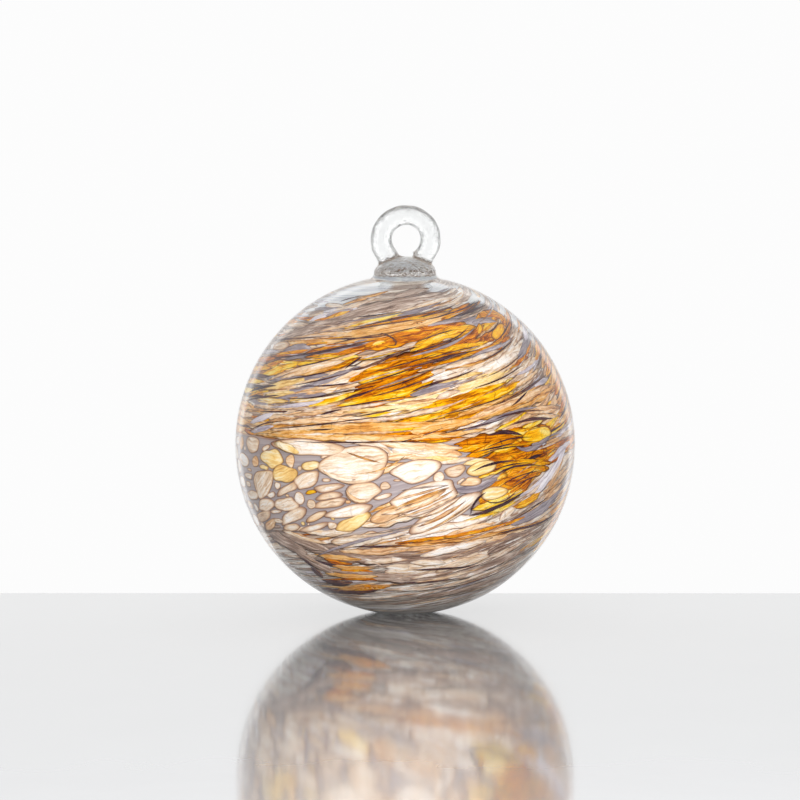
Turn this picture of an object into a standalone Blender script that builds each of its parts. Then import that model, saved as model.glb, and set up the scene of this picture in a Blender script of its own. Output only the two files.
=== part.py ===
"""A friendship ball: a hand-blown glass ball with a clear glass hanging loop fused to its crown.

The ball is blown, so it is closed, and stands here as one solid with its loop. Units are metres, +Z is up,
and the origin is the middle of the small flat spot that the ball stands on.
"""

import math

import bpy
import bmesh
from mathutils import Vector

# The ball
BALL_DIAMETER = 0.100
BASE_FLAT_DIAMETER = 0.014

# The gob: the lump of hot clear glass that closes the crown and carries the loop
GOB_FOOT_DIAMETER = 0.0222
GOB_DIAMETER = 0.0184
GOB_HEIGHT = 0.0055
GOB_FOOT_FILLET = 0.0014

# The loop: one thick trail of clear glass, drawn out of the gob, curled over and pressed back down
EYE_DIAMETER = 0.0082
EYE_ABOVE_GOB = 0.0008
EYE_SIDE_SHIFT = 0.0003
BAR_ROOT_DIAMETER = 0.0068
BAR_TOP_DIAMETER = 0.0060
BAR_TAIL_DIAMETER = 0.0062
LEG_TURN = math.radians(32)
TAIL_TURN = math.radians(66)

# How finely the round forms are divided
BALL_SIDES = 72
BALL_HALF_STEPS = 15
GOB_STEPS = 8
BAR_SIDES = 16
LEG_STEPS = 4
RING_STEPS = 28

CLEAR_GLASS = (0.93, 0.95, 0.95, 1.0)
GLASS_IOR = 1.5


def clear_scene():
    for obj in list(bpy.data.objects):
        bpy.data.objects.remove(obj)


def glass_material():
    """Clear blown glass, see-through and fire-polished."""
    material = bpy.data.materials.new("clear_blown_glass")
    material.use_nodes = True
    shader = material.node_tree.nodes["Principled BSDF"]
    shader.inputs["Base Color"].default_value = CLEAR_GLASS
    shader.inputs["Roughness"].default_value = 0.03
    shader.inputs["Metallic"].default_value = 0.0
    shader.inputs["IOR"].default_value = GLASS_IOR
    shader.inputs["Transmission Weight"].default_value = 1.0
    return material


# Sizes that follow from the ones above
BALL_RADIUS = BALL_DIAMETER / 2
FLAT_RADIUS = BASE_FLAT_DIAMETER / 2
BALL_CENTRE_Z = math.sqrt(BALL_RADIUS**2 - FLAT_RADIUS**2)
CROWN_Z = BALL_CENTRE_Z + BALL_RADIUS
GOB_TOP_Z = CROWN_Z + GOB_HEIGHT
EYE_CENTRE_Z = GOB_TOP_Z + EYE_ABOVE_GOB + EYE_DIAMETER / 2


def height_on_ball(radius):
    """The height of the ball's upper surface at this distance from its axis."""
    return BALL_CENTRE_Z + math.sqrt(BALL_RADIUS**2 - radius**2)


def gob_profile():
    """The gob's outline from the middle of its top down to its foot: a low dome, then a concave fillet."""
    half_width = GOB_DIAMETER / 2
    foot_radius = GOB_FOOT_DIAMETER / 2
    shoulder_z = height_on_ball(half_width) + GOB_FOOT_FILLET
    dome = [
        (
            half_width * math.sin(turn),
            shoulder_z + (GOB_TOP_Z - shoulder_z) * math.cos(turn),
        )
        for turn in (math.pi / 2 * step / GOB_STEPS for step in range(GOB_STEPS + 1))
    ]
    foot_z = height_on_ball(foot_radius)
    fillet_steps = GOB_STEPS // 2
    fillet = [
        (
            foot_radius - (foot_radius - half_width) * math.cos(turn),
            shoulder_z - (shoulder_z - foot_z) * math.sin(turn),
        )
        for turn in (math.pi / 2 * step / fillet_steps for step in range(1, fillet_steps + 1))
    ]
    return dome + fillet


def ball_profile():
    """The ball's outline from the gob's foot, past its widest ring, to the middle of its flat spot."""
    start = math.asin(GOB_FOOT_DIAMETER / 2 / BALL_RADIUS)
    widest = math.pi / 2
    end = math.pi - math.asin(FLAT_RADIUS / BALL_RADIUS)
    outline = []
    for first, last in ((start, widest), (widest, end)):
        for step in range(1, BALL_HALF_STEPS + 1):
            turn = first + (last - first) * step / BALL_HALF_STEPS
            outline.append((BALL_RADIUS * math.sin(turn), BALL_CENTRE_Z + BALL_RADIUS * math.cos(turn)))
    return outline + [(0.0, 0.0)]


def turned_ball(name):
    """The ball and its gob, turned in one from their outline."""
    mesh = bpy.data.meshes.new(name)
    outline = [Vector((radius, 0, height)) for radius, height in gob_profile() + ball_profile()]
    edges = [(i, i + 1) for i in range(len(outline) - 1)]
    mesh.from_pydata(outline, edges, [])
    ball = bpy.data.objects.new(name, mesh)
    bpy.context.scene.collection.objects.link(ball)
    turn = ball.modifiers.new("turn", "SCREW")
    turn.axis = "Z"
    turn.steps = turn.render_steps = BALL_SIDES
    turn.use_merge_vertices = True
    turn.merge_threshold = 0.00001
    return ball


def bar_radius(share):
    """The bar's radius at this share of its length: thick at its root, thinnest at its top."""
    if share < 0.5:
        diameter = BAR_ROOT_DIAMETER + (BAR_TOP_DIAMETER - BAR_ROOT_DIAMETER) * share * 2
    else:
        diameter = BAR_TOP_DIAMETER + (BAR_TAIL_DIAMETER - BAR_TOP_DIAMETER) * (share - 0.5) * 2
    return diameter / 2


def bar_stations():
    """The loop's centre line, as points and radii: up from its root in the gob, round the eye, down to its tail.

    The bar's inner side follows the eye's circle, so the centre line lies half a bar outside it. The leg is
    straight and joins the ring where the ring has turned by LEG_TURN below the eye's middle.
    """
    eye_middle = Vector((EYE_SIDE_SHIFT, 0, EYE_CENTRE_Z))
    last = LEG_STEPS + RING_STEPS
    ring = []
    for step in range(RING_STEPS + 1):
        turn = math.pi + LEG_TURN - (math.pi + LEG_TURN + TAIL_TURN) * step / RING_STEPS
        radius = bar_radius((LEG_STEPS + step) / last)
        reach = EYE_DIAMETER / 2 + radius
        ring.append((eye_middle + reach * Vector((math.cos(turn), 0, math.sin(turn))), radius))
    leg_top = ring[0][0]
    leg_depth = leg_top.z - (CROWN_Z - BAR_ROOT_DIAMETER / 4)
    root = leg_top + leg_depth * Vector((math.tan(LEG_TURN), 0, -1))
    leg = [(root.lerp(leg_top, step / LEG_STEPS), bar_radius(step / last)) for step in range(LEG_STEPS)]
    return leg + ring


def swept_bar(name):
    """The loop's round bar: a ring of points across the centre line at each step, bridged and capped."""
    stations = bar_stations()
    last = len(stations) - 1
    across = Vector((0, 1, 0))
    shape = bmesh.new()
    rings = []
    for index, (centre, radius) in enumerate(stations):
        ahead = stations[min(index + 1, last)][0] - stations[max(index - 1, 0)][0]
        outward = ahead.normalized().cross(across)
        ring = []
        for side in range(BAR_SIDES):
            turn = 2 * math.pi * side / BAR_SIDES
            ring.append(shape.verts.new(centre + radius * (math.cos(turn) * outward + math.sin(turn) * across)))
        rings.append(ring)
    for ring, following in zip(rings, rings[1:]):
        for side in range(BAR_SIDES):
            beside = (side + 1) % BAR_SIDES
            shape.faces.new((ring[side], ring[beside], following[beside], following[side]))
    shape.faces.new(rings[0])
    shape.faces.new(rings[-1])
    bmesh.ops.recalc_face_normals(shape, faces=shape.faces)
    mesh = bpy.data.meshes.new(name)
    shape.to_mesh(mesh)
    shape.free()
    bar = bpy.data.objects.new(name, mesh)
    bpy.context.scene.collection.objects.link(bar)
    bar.hide_render = True
    bar.display_type = "WIRE"
    return bar


def build():
    clear_scene()
    ball = turned_ball("glass_ball")
    loop = swept_bar("loop_to_fuse")
    fuse = ball.modifiers.new("fuse_loop", "BOOLEAN")
    fuse.operation = "UNION"
    fuse.object = loop
    ball.data.materials.append(glass_material())
    ball.data.shade_smooth()


build()
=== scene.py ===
# %% [markdown]
# # A friendship ball in blown glass
# The real ball is one closed bubble of glass. Its maker rolls a hot gather of clear glass in chips of
# coloured glass, called frit, twists it so that the chips stretch into streaks, cases it in more clear
# glass and blows it out. Last, a gob of clear glass goes on the crown and is drawn up into a hanging loop.
# We follow the same order: the measured frame, the clear casing, the colour inside it, and the light.

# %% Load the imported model
import math
from functools import partial

import bmesh
import bpy
import numpy as np
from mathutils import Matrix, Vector, noise


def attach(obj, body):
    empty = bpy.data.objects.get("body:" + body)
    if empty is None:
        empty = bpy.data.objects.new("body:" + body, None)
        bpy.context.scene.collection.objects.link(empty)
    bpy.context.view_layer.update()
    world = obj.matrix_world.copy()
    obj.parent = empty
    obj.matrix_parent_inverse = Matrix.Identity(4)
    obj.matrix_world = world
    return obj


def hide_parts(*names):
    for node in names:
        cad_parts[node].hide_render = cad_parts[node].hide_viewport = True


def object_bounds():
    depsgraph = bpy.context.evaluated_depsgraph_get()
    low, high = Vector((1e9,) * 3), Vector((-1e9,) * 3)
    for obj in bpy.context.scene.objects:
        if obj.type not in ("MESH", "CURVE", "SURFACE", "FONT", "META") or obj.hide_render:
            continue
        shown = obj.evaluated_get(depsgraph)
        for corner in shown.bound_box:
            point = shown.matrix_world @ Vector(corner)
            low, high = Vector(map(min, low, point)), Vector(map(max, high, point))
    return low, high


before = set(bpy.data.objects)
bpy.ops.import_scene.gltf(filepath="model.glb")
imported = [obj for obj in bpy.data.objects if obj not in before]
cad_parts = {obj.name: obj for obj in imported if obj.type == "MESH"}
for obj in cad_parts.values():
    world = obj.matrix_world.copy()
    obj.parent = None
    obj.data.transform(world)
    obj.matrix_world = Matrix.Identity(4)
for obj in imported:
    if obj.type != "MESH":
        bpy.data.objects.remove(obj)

cad_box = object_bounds()
print("the ball is", [round(side * 1000, 1) for side in cad_box[1] - cad_box[0]], "mm")

# %% [markdown]
# ## Sizes
# Everything is placed from the middle of the ball, so its radius and the height of its middle come first.
# The ball is cut by a small flat spot that it stands on, which puts its middle a little below one radius.
# The colour lies about 1 mm under the clear outer surface. We work in millimetres from here on, because
# glass walls and chips are easier to picture that way, and turn them into Blender's metres only when a
# mesh is made. All random choices come from one seeded source, so every run makes the same ball.

# %% Name the ball's sizes
MM = 0.001
BALL_RADIUS = (cad_box[1].x - cad_box[0].x) / 2 / MM
FLAT_RADIUS = 7.0
MIDDLE_HEIGHT = math.sqrt(BALL_RADIUS**2 - FLAT_RADIUS**2)
CROWN_HEIGHT = MIDDLE_HEIGHT + BALL_RADIUS
COVER = 1.1
COLOUR_RADIUS = BALL_RADIUS - COVER
SEED = 20
rng = np.random.default_rng(SEED)
print(f"radius {BALL_RADIUS:.1f} mm, middle {MIDDLE_HEIGHT:.1f} mm up, colour {COVER} mm deep")

# %% [markdown]
# ## Turning a round form
# A blown ball and its gob are round about one axis, as on a lathe. So one outline, given as radii and
# heights from the top down, makes the whole skin: we repeat it round the axis and join the rows with quads.
# A Screw modifier would do the same, but here we want to nudge the points afterwards, so we make them.


# %% Turn an outline into a closed skin
def all_round(sides):
    """Evenly spaced angles, once round."""
    return np.arange(sides) * 2 * math.pi / sides


def capped_faces(rings, sides):
    """Faces of rings of points, with a fan round a first point before them and a last one after them."""
    last_ring = 1 + (rings - 1) * sides
    faces = []
    for side in range(sides):
        beside = (side + 1) % sides
        faces.append((0, 1 + side, 1 + beside))
        for ring in range(1, last_ring, sides):
            faces.append((ring + side, ring + sides + side, ring + sides + beside, ring + beside))
        faces.append((last_ring + side, last_ring + sides, last_ring + beside))
    return faces


def turned_skin(outline, sides):
    """Points and faces of an outline turned about Z. Its first and last points lie on the axis."""
    angles = all_round(sides)
    rows = np.array(outline[1:-1])
    across = rows[:, :1] * np.cos(angles)
    along = rows[:, :1] * np.sin(angles)
    height = np.repeat(rows[:, 1:], sides, axis=1)
    skin = np.stack([across, along, height], -1).reshape(-1, 3)
    top, bottom = (0, 0, outline[0][1]), (0, 0, outline[-1][1])
    return np.concatenate([[top], skin, [bottom]]), capped_faces(len(rows), sides)


def add_object(name, data):
    """A new object in the scene."""
    made = bpy.data.objects.new(name, data)
    bpy.context.scene.collection.objects.link(made)
    return made


def new_piece(name, points, faces):
    """A mesh object from points in millimetres."""
    mesh = bpy.data.meshes.new(name)
    mesh.from_pydata((np.asarray(points) * MM).tolist(), [], faces)
    mesh.shade_smooth()
    return add_object(name, mesh)


# %% [markdown]
# ## The clear casing
# The casing is the clear glass that everything else lies behind. On the real ball the colour is fused into
# it with no air between, so we make only its outer skin and let the colour fill it. That gives the pale
# edge by itself: glass seen at a glancing angle mirrors the white room, so the colour fades into it. The
# outline has the gob on its crown, with the same dome and hollow fillet as the solid model.

# %% Draw the outline of the ball and its gob
GOB_FOOT_RADIUS = 11.1
GOB_RADIUS = 9.2
GOB_HEIGHT = 5.5
GOB_FOOT_FILLET = 1.4
GOB_TOP = CROWN_HEIGHT + GOB_HEIGHT


def height_on_ball(radius):
    return MIDDLE_HEIGHT + math.sqrt(BALL_RADIUS**2 - radius**2)


def casing_outline(dome_steps=18, fillet_steps=8, ball_steps=120):
    """The gob's dome and fillet, the ball's side and its flat spot, from the top down."""
    shoulder = height_on_ball(GOB_RADIUS) + GOB_FOOT_FILLET
    foot = height_on_ball(GOB_FOOT_RADIUS)
    outline = []
    for turn in np.linspace(0, math.pi / 2, dome_steps):
        outline.append((GOB_RADIUS * math.sin(turn), shoulder + (GOB_TOP - shoulder) * math.cos(turn)))
    for turn in np.linspace(0, math.pi / 2, fillet_steps)[1:]:
        reach = (GOB_FOOT_RADIUS - GOB_RADIUS) * math.cos(turn)
        outline.append((GOB_FOOT_RADIUS - reach, shoulder - (shoulder - foot) * math.sin(turn)))
    start = math.asin(GOB_FOOT_RADIUS / BALL_RADIUS)
    end = math.pi - math.asin(FLAT_RADIUS / BALL_RADIUS)
    for turn in np.linspace(start, end, ball_steps)[1:]:
        outline.append((BALL_RADIUS * math.sin(turn), MIDDLE_HEIGHT + BALL_RADIUS * math.cos(turn)))
    return outline + [(0.0, 0.0)]


# %% [markdown]
# ## The hanging loop
# The loop is one thick trail of hot glass. It leaves the gob at the left, bends round an eye and is
# pressed back down at the right. A bar swept along a centre line gives that, with its thickness changing
# as it goes. The centre line stays half a bar outside the eye, so the eye is round however thick the bar.

# %% Sweep the loop
EYE_RADIUS = 4.1
EYE_ABOVE_GOB = 0.8
EYE_SHIFT = 0.3
EYE_MIDDLE = np.array([EYE_SHIFT, 0.0, GOB_TOP + EYE_ABOVE_GOB + EYE_RADIUS])
BAR_ROOT_RADIUS = 3.4
BAR_TOP_RADIUS = 3.0
BAR_TAIL_RADIUS = 3.1
LEG_TURN = math.radians(32)
TAIL_TURN = math.radians(66)


def loop_stations(leg_steps=20, ring_steps=110):
    """The loop's centre line and its radius at each step, from root to tail."""
    shares = np.linspace(0, 1, leg_steps + ring_steps + 1)
    radii = np.interp(shares, [0, 0.5, 1], [BAR_ROOT_RADIUS, BAR_TOP_RADIUS, BAR_TAIL_RADIUS])
    turns = np.linspace(math.pi + LEG_TURN, -TAIL_TURN, ring_steps + 1)
    reach = EYE_RADIUS + radii[leg_steps:]
    ring = EYE_MIDDLE + np.stack([reach * np.cos(turns), 0 * turns, reach * np.sin(turns)], -1)
    depth = ring[0, 2] - (CROWN_HEIGHT - BAR_ROOT_RADIUS / 2)
    root = ring[0] + depth * np.array([math.tan(LEG_TURN), 0, -1])
    leg = [root + (ring[0] - root) * step / leg_steps for step in range(leg_steps)]
    return np.concatenate([leg, ring]), radii


def swept_skin(centres, radii, sides):
    """Points and faces of a round bar along a line that lies in the XZ plane, closed at both ends."""
    ahead = np.gradient(centres, axis=0)
    ahead /= np.linalg.norm(ahead, axis=1, keepdims=True)
    across = np.array([0.0, 1.0, 0.0])
    outward = np.cross(ahead, across)
    turns = all_round(sides)
    rings = (
        centres[:, None]
        + (radii[:, None] * np.cos(turns))[..., None] * outward[:, None]
        + (radii[:, None] * np.sin(turns))[..., None] * across
    )
    last_ring = (len(centres) - 1) * sides
    faces = [tuple(range(sides)), tuple(reversed(range(last_ring, last_ring + sides)))]
    for ring in range(0, last_ring, sides):
        for side in range(sides):
            beside = (side + 1) % sides
            faces.append((ring + side, ring + sides + side, ring + sides + beside, ring + beside))
    return rings.reshape(-1, 3), faces


# %% [markdown]
# ## Fusing gob and loop
# Hot glass runs together where it touches, so the sharp crease that a Boolean union leaves between the
# loop and the gob is wrong. We unite the two first and then relax the points near the crease a few times,
# which rounds it into a soft fillet. The shears and jacks also leave the gob a little uneven, so its
# points get a slow wobble of about a tenth of a millimetre, always inward so the real size still holds.

# %% Unite the two and soften the crease
CREASE_TO_BAR = 1.3
CREASE_TO_DOME = 1.2
RELAX_ROUNDS = 14
ALL_AXES = {"use_axis_x": True, "use_axis_y": True, "use_axis_z": True}


def fused(skin, loop):
    """The union of the two, as a new mesh of the first."""
    union = skin.modifiers.new("fuse_loop", "BOOLEAN")
    union.operation = "UNION"
    union.object = loop
    graph = bpy.context.evaluated_depsgraph_get()
    mesh = bpy.data.meshes.new_from_object(skin.evaluated_get(graph))
    skin.modifiers.clear()
    skin.data = mesh
    bpy.data.objects.remove(loop)


def relax_crease(shape, centres, radii):
    """Smooths the points that lie on both the gob's dome and the loop's bar."""
    near = []
    for vert in shape.verts:
        place = np.array(vert.co) / MM
        if place[2] < CROWN_HEIGHT + 1:
            continue
        to_bar = np.linalg.norm(centres - place, axis=1) - radii
        if abs(to_bar.min()) < CREASE_TO_BAR and place[2] - GOB_TOP < CREASE_TO_DOME:
            near.append(vert)
    for _ in range(RELAX_ROUNDS):
        bmesh.ops.smooth_vert(shape, verts=near, factor=0.5, **ALL_AXES)
    return len(near)


# %% Wobble the surface and make the casing
CASING_SIDES = 240
BAR_SIDES = 44
GOB_WOBBLE = 0.22
GOB_WOBBLE_WAVE = 2.6
BALL_WOBBLE = 0.10
BALL_WOBBLE_WAVE = 17.0
GOB_WOBBLE_FROM = CROWN_HEIGHT - 1.5
GOB_WOBBLE_OVER = 3
STEADY_BASE = 0.4


def wobble(shape):
    """Moves each point inward by a slow noise: strong and fine on the gob and loop, faint on the ball."""
    middle = Vector((0, 0, MIDDLE_HEIGHT)) * MM
    for vert in shape.verts:
        on_gob = min(max((vert.co.z / MM - GOB_WOBBLE_FROM) / GOB_WOBBLE_OVER, 0), 1)
        if vert.co.z > STEADY_BASE * MM:
            fine = 0.5 + 0.5 * noise.noise(vert.co / MM / GOB_WOBBLE_WAVE)
            slow = 0.5 + 0.5 * noise.noise(vert.co / MM / BALL_WOBBLE_WAVE)
            depth = GOB_WOBBLE * fine * on_gob + BALL_WOBBLE * slow * (1 - on_gob)
            inward = -vert.normal if on_gob > 0.5 else (middle - vert.co).normalized()
            vert.co += inward * depth * MM


def make_casing():
    casing = new_piece("clear_casing", *turned_skin(casing_outline(), CASING_SIDES))
    centres, radii = loop_stations()
    fused(casing, new_piece("loop_to_fuse", *swept_skin(centres, radii, BAR_SIDES)))
    shape = bmesh.new()
    shape.from_mesh(casing.data)
    relaxed = relax_crease(shape, centres, radii)
    shape.normal_update()
    wobble(shape)
    shape.to_mesh(casing.data)
    shape.free()
    casing.data.shade_smooth()
    print("casing:", len(casing.data.polygons), "faces,", relaxed, "points relaxed at the crease")
    return casing


casing = make_casing()

# %% [markdown]
# ## Finding a place on the ball
# Every bit of colour needs a place, which we give as a direction from the ball's middle. Azimuth 0 faces
# the viewer and grows to the right, and height runs from -1 at the base to 1 at the crown. To follow what
# the camera sees, it is easier to say how far a thing lies right of the ball's middle and above it, in
# millimetres, so a second function turns that into a direction. What is near looks a little larger, so
# it first takes that growth off again.

# %% Two ways to name a place
CAMERA_ELEVATION = math.radians(5.45)
CAMERA_DISTANCE = 1.266
SCREEN_RIGHT = np.array([1.0, 0.0, 0.0])
SCREEN_UP = np.array([0.0, math.sin(CAMERA_ELEVATION), math.cos(CAMERA_ELEVATION)])
TOWARD_CAMERA = np.array([0.0, -math.cos(CAMERA_ELEVATION), math.sin(CAMERA_ELEVATION)])


def place_at(azimuth, height):
    """A direction from the ball's middle, for an azimuth in radians and a height from -1 to 1."""
    level = np.sqrt(np.clip(1 - np.square(height), 0, 1))
    return np.stack([level * np.sin(azimuth), -level * np.cos(azimuth), height + 0 * azimuth], -1)


def place_seen(seen):
    """The direction of what the camera sees this many millimetres right of and above the ball's middle."""
    seen = np.asarray(seen, float) / BALL_RADIUS
    near = np.sqrt(np.clip(1 - np.sum(seen**2, -1, keepdims=True), 0, 1))
    seen = seen * (1 - near * BALL_RADIUS * MM / CAMERA_DISTANCE)
    near = np.sqrt(np.clip(1 - np.sum(seen**2, -1, keepdims=True), 0, 1))
    return seen[..., :1] * SCREEN_RIGHT + seen[..., 1:] * SCREEN_UP + near * TOWARD_CAMERA


def smooth_step(low, high, value):
    share = np.clip((value - low) / (high - low), 0, 1)
    return share * share * (3 - 2 * share)


def azimuth_and_height(place):
    return np.arctan2(place[..., 0], -place[..., 1]), place[..., 2]


def level_and_rise(place):
    """The two directions along the surface at a place: level to the right, and straight up."""
    azimuth, _ = azimuth_and_height(place)
    level = np.stack([np.cos(azimuth), np.sin(azimuth), 0 * azimuth], -1)
    return level, np.cross(place, level)


def slow_noise(place, wave, seed):
    """Smooth noise from -1 to 1 over the ball. wave is its size as a share of the radius."""
    return noise.noise(Vector(place) / wave + Vector((seed, 2.0 * seed, -seed)))


# %% [markdown]
# ## The twist
# Before the bubble is blown up, its maker turns the pipe while the far end is held. Each ring of the
# bubble turns a little further than the one below, so a round dot shears into a long streak that climbs
# round the ball. No hand does that evenly. Here the streaks climb more steeply at the right, and just above
# the middle a tight turn has drawn them nearly level. Undoing the twist of a point gives its place on the
# bubble before it, so any round pattern drawn there comes out as streaks.

# %% Twist and untwist
TWIST = 3.6
TWIST_LEAN = 0.8
TIGHT_CHART_HEIGHT = 0.06
TIGHT_SPREAD = 0.07
TIGHT_TWIST = 3.0
TWIST_END = 0.975


def chart_height(height):
    """Height on a chart that keeps angles true, as a sea chart does."""
    return np.arctanh(np.clip(height, -TWIST_END, TWIST_END))


def untwisted(place):
    """Where a point lay before the twist, as a direction."""
    azimuth, height = azimuth_and_height(place)
    chart = chart_height(height)
    tight = TIGHT_TWIST * TIGHT_SPREAD * np.tanh((chart - TIGHT_CHART_HEIGHT) / TIGHT_SPREAD)
    return place_at(azimuth - TWIST_LEAN * np.cos(azimuth) - TWIST * (chart + tight), height)


def streak_tilt(place):
    """How steeply the streaks climb to the right at a place, in radians."""
    azimuth, height = azimuth_and_height(place)
    tight = TIGHT_TWIST / np.cosh((chart_height(height) - TIGHT_CHART_HEIGHT) / TIGHT_SPREAD) ** 2
    return np.arctan((1 + TWIST_LEAN * np.sin(azimuth)) / (TWIST * (1 + tight)))


for seen in ((-35, 20), (0, 20), (35, 20), (0, 4)):
    climb = math.degrees(streak_tilt(place_seen(seen)))
    print(f"streaks {seen[0]} mm right and {seen[1]} mm up climb {climb:.0f} degrees")

# %% [markdown]
# ## The front's cells
# At the lower left of this ball the colour was hardly pulled at all. Each chip of frit there is still a
# round cell, soft from the heat and pressed against its neighbours. A maker would lay grains this big by
# hand, and here they are listed one by one. Each row gives the glass, millimetres right of and above the
# middle as seen from the front, length, width, and tilt in degrees.

# %% Lay the front's cells one by one
FRONT_CELLS = [
    ("ivory", -28.6, -1.1, 21.0, 5.2, -4),
    ("straw", -28.1, -6.3, 5.4, 3.1, 3),
    ("ivory", -15.8, -6.1, 20.0, 10.8, 3),
    ("straw", -39.8, -3.9, 7.0, 6.0, -38),
    ("straw", -35.9, -8.6, 7.0, 6.2, 35),
    ("ivory", -42.2, -11.2, 11.0, 6.0, 84),
    ("ivory", -29.7, -10.6, 8.8, 4.8, 32),
    ("gold", -27.8, -14.1, 3.4, 1.6, 14),
    ("ivory", -23.0, -12.9, 9.4, 2.4, 12),
    ("ivory", -12.2, -14.3, 11.4, 6.0, 10),
    ("ivory", -22.2, -17.4, 10.4, 3.0, 9),
    ("ivory", -22.6, -15.4, 8.6, 2.2, 10),
    ("ivory", -35.3, -17.7, 8.0, 5.2, 14),
    ("ivory", -41.2, -17.9, 5.2, 4.4, 30),
    ("ivory", -33.6, -21.4, 9.4, 4.0, 29),
    ("ivory", -17.4, -20.2, 14.4, 3.8, 12),
    ("straw", -15.6, -23.2, 11.0, 4.0, 24),
    ("ivory", -42.0, -21.2, 4.8, 3.6, 20),
    ("peach", -39.6, -23.6, 4.8, 2.8, 38),
    ("ivory", -34.6, -13.2, 7.4, 3.0, 32),
    ("peach", -26.4, -21.4, 6.4, 2.4, 28),
    ("ivory", -27.0, -24.6, 9.0, 2.2, 14),
    ("ivory", 2.8, -8.2, 15.0, 6.6, 14),
    ("ivory", 5.0, -16.4, 25.0, 8.2, 20),
    ("ivory", 12.0, -20.6, 21.0, 5.4, 31),
    ("peach", -5.0, -20.6, 11.0, 4.0, 24),
    ("ivory", 14.8, -7.9, 7.0, 3.2, 16),
    ("peach", 18.9, -11.0, 8.2, 2.6, 2),
    ("straw", 22.8, -7.0, 8.4, 4.2, 14),
    ("straw", 26.4, -14.4, 7.6, 3.8, 12),
    ("gold", 39.4, 3.0, 8.0, 4.4, 12),
    ("gold", 27.6, 33.6, 5.2, 3.2, 60),
    ("ivory", -36.8, 29.2, 4.8, 2.6, 14),
]

# %% [markdown]
# ## From a row to a cell
# What the eye sees is foreshortened near the ball's edge, so each ellipse is unrolled onto the ball. It
# grows a little on the way, to make up for the gap that is cut off round it. Each cell gets its own place
# in the noise of its finish, and its own tone, so no two look alike.

# %% Turn the rows into cells
FRONT_CELL_GROWTH = 1.06
NOISE_SPREAD = 400


def own_look():
    """What sets one bit of glass apart: its offset into the noise of its finish, and its tone."""
    return {"offset": rng.uniform(-NOISE_SPREAD, NOISE_SPREAD, 3), "tone": rng.uniform()}


def new_chip(kind, place, half, tilt):
    """A chip: its kind of glass, its place, half its length and width, and its tilt from level."""
    level, rise = level_and_rise(place)
    along = math.cos(tilt) * level + math.sin(tilt) * rise
    return {
        "kind": kind,
        "place": place,
        "half": np.array(half),
        "along": along,
        "across": np.cross(place, along),
        **own_look(),
    }


def chip_as_seen(kind, across, up, length, width, tilt):
    """Unrolls an ellipse that the camera sees onto the ball."""
    place = place_seen((across, up))
    level, rise = level_and_rise(place)
    flatten = np.array([[level[0], rise[0]], [level @ SCREEN_UP, rise @ SCREEN_UP]])
    turn = math.radians(tilt)
    turned = np.array([[math.cos(turn), -math.sin(turn)], [math.sin(turn), math.cos(turn)]])
    ways, half, _ = np.linalg.svd(np.linalg.inv(flatten) @ turned @ np.diag([length / 2, width / 2]))
    lean = math.atan2(ways[1, 0] * np.sign(ways[0, 0]), abs(ways[0, 0]))
    return new_chip(kind, place, half * FRONT_CELL_GROWTH, lean)


chips = [chip_as_seen(*row) for row in FRONT_CELLS]
FRONT_CELL_COUNT = len(chips)
print(FRONT_CELL_COUNT, "cells laid by hand")

# %% [markdown]
# ## The front's streaks
# Everywhere else the twist has drawn the chips into long streaks that fan out from the left edge, sweep up
# to the right and end in a few curled lobes. The ones that catch the eye are listed one by one too. Each row
# gives the glass, the width as seen, and two or more points of the streak's middle line. Later rows lie
# over earlier ones, so the broad ones come first. Honey is thin brown amber, taupe a warm grey, and umber
# the dark purple-brown that shows where amber glass is piled up thick.

# %% Lay the broad streaks
BROAD_STREAKS = [
    ("taupe", 4.5, (-38, 31), (-28, 34.5), (-14, 38.5), (2, 42.5), (12, 44)),
    ("honey", 4.0, (-36, 30), (-20, 31.8), (0, 35), (14, 39)),
    ("amber", 5.0, (-30, 26.6), (-14, 29.6), (4, 33), (18, 36)),
    ("peach", 6.0, (-42, 14.5), (-30, 17), (-16, 21), (-6, 25)),
    ("amber", 6.0, (-17, 19), (-4, 23), (10, 27.6), (21, 32)),
    ("amber", 6.5, (-18, 12.6), (-4, 16.6), (9, 21.6)),
    ("peach", 5.5, (-43, 8.6), (-28, 9.8), (-12, 11)),
    ("straw", 5.0, (-6, 11.6), (10, 13.6), (24, 17.4), (34, 23)),
    ("ivory", 6.5, (9, 17.2), (21, 20.6), (31, 26), (36, 31.5)),
    ("honey", 6.0, (16, 8.4), (32, 12.4), (45, 17.6)),
    ("honey", 5.0, (-44, 4.6), (-26, 4.7), (-6, 4.2), (10, 5.6), (24, 9)),
    ("amber", 6.5, (15, -1.4), (25, 0.4), (36, 2.6), (43, 5)),
    ("amber", 7.5, (20, -7.4), (30, -4.4), (42, -2)),
    ("amber", 7.0, (22, -17), (31, -11.6), (41, -7)),
    ("ivory", 5.5, (-6, -28), (10, -25.4), (26, -20.8)),
    ("peach", 5.0, (-14, -24), (2, -20), (16, -14.4)),
    ("ivory", 4.5, (-22, -29), (-8, -28.4), (4, -27)),
    ("peach", 5.0, (-4, -31), (14, -29.6), (32, -25.6), (43, -21)),
    ("taupe", 5.0, (-34, -29), (-16, -33), (4, -33.4), (24, -30.6), (40, -24)),
    ("ivory", 4.0, (-6, -36.4), (10, -35.6), (26, -31.4)),
    ("taupe", 4.0, (-20, -39), (-2, -39.4), (18, -37.6), (33, -31.6)),
    ("ivory", 2.6, (-6, -37.8), (6, -37.4), (20, -35.2)),
]

# %% [markdown]
# ### Under the crown
# Here the streaks are thin and many, with grey, ivory and amber side by side.

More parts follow.
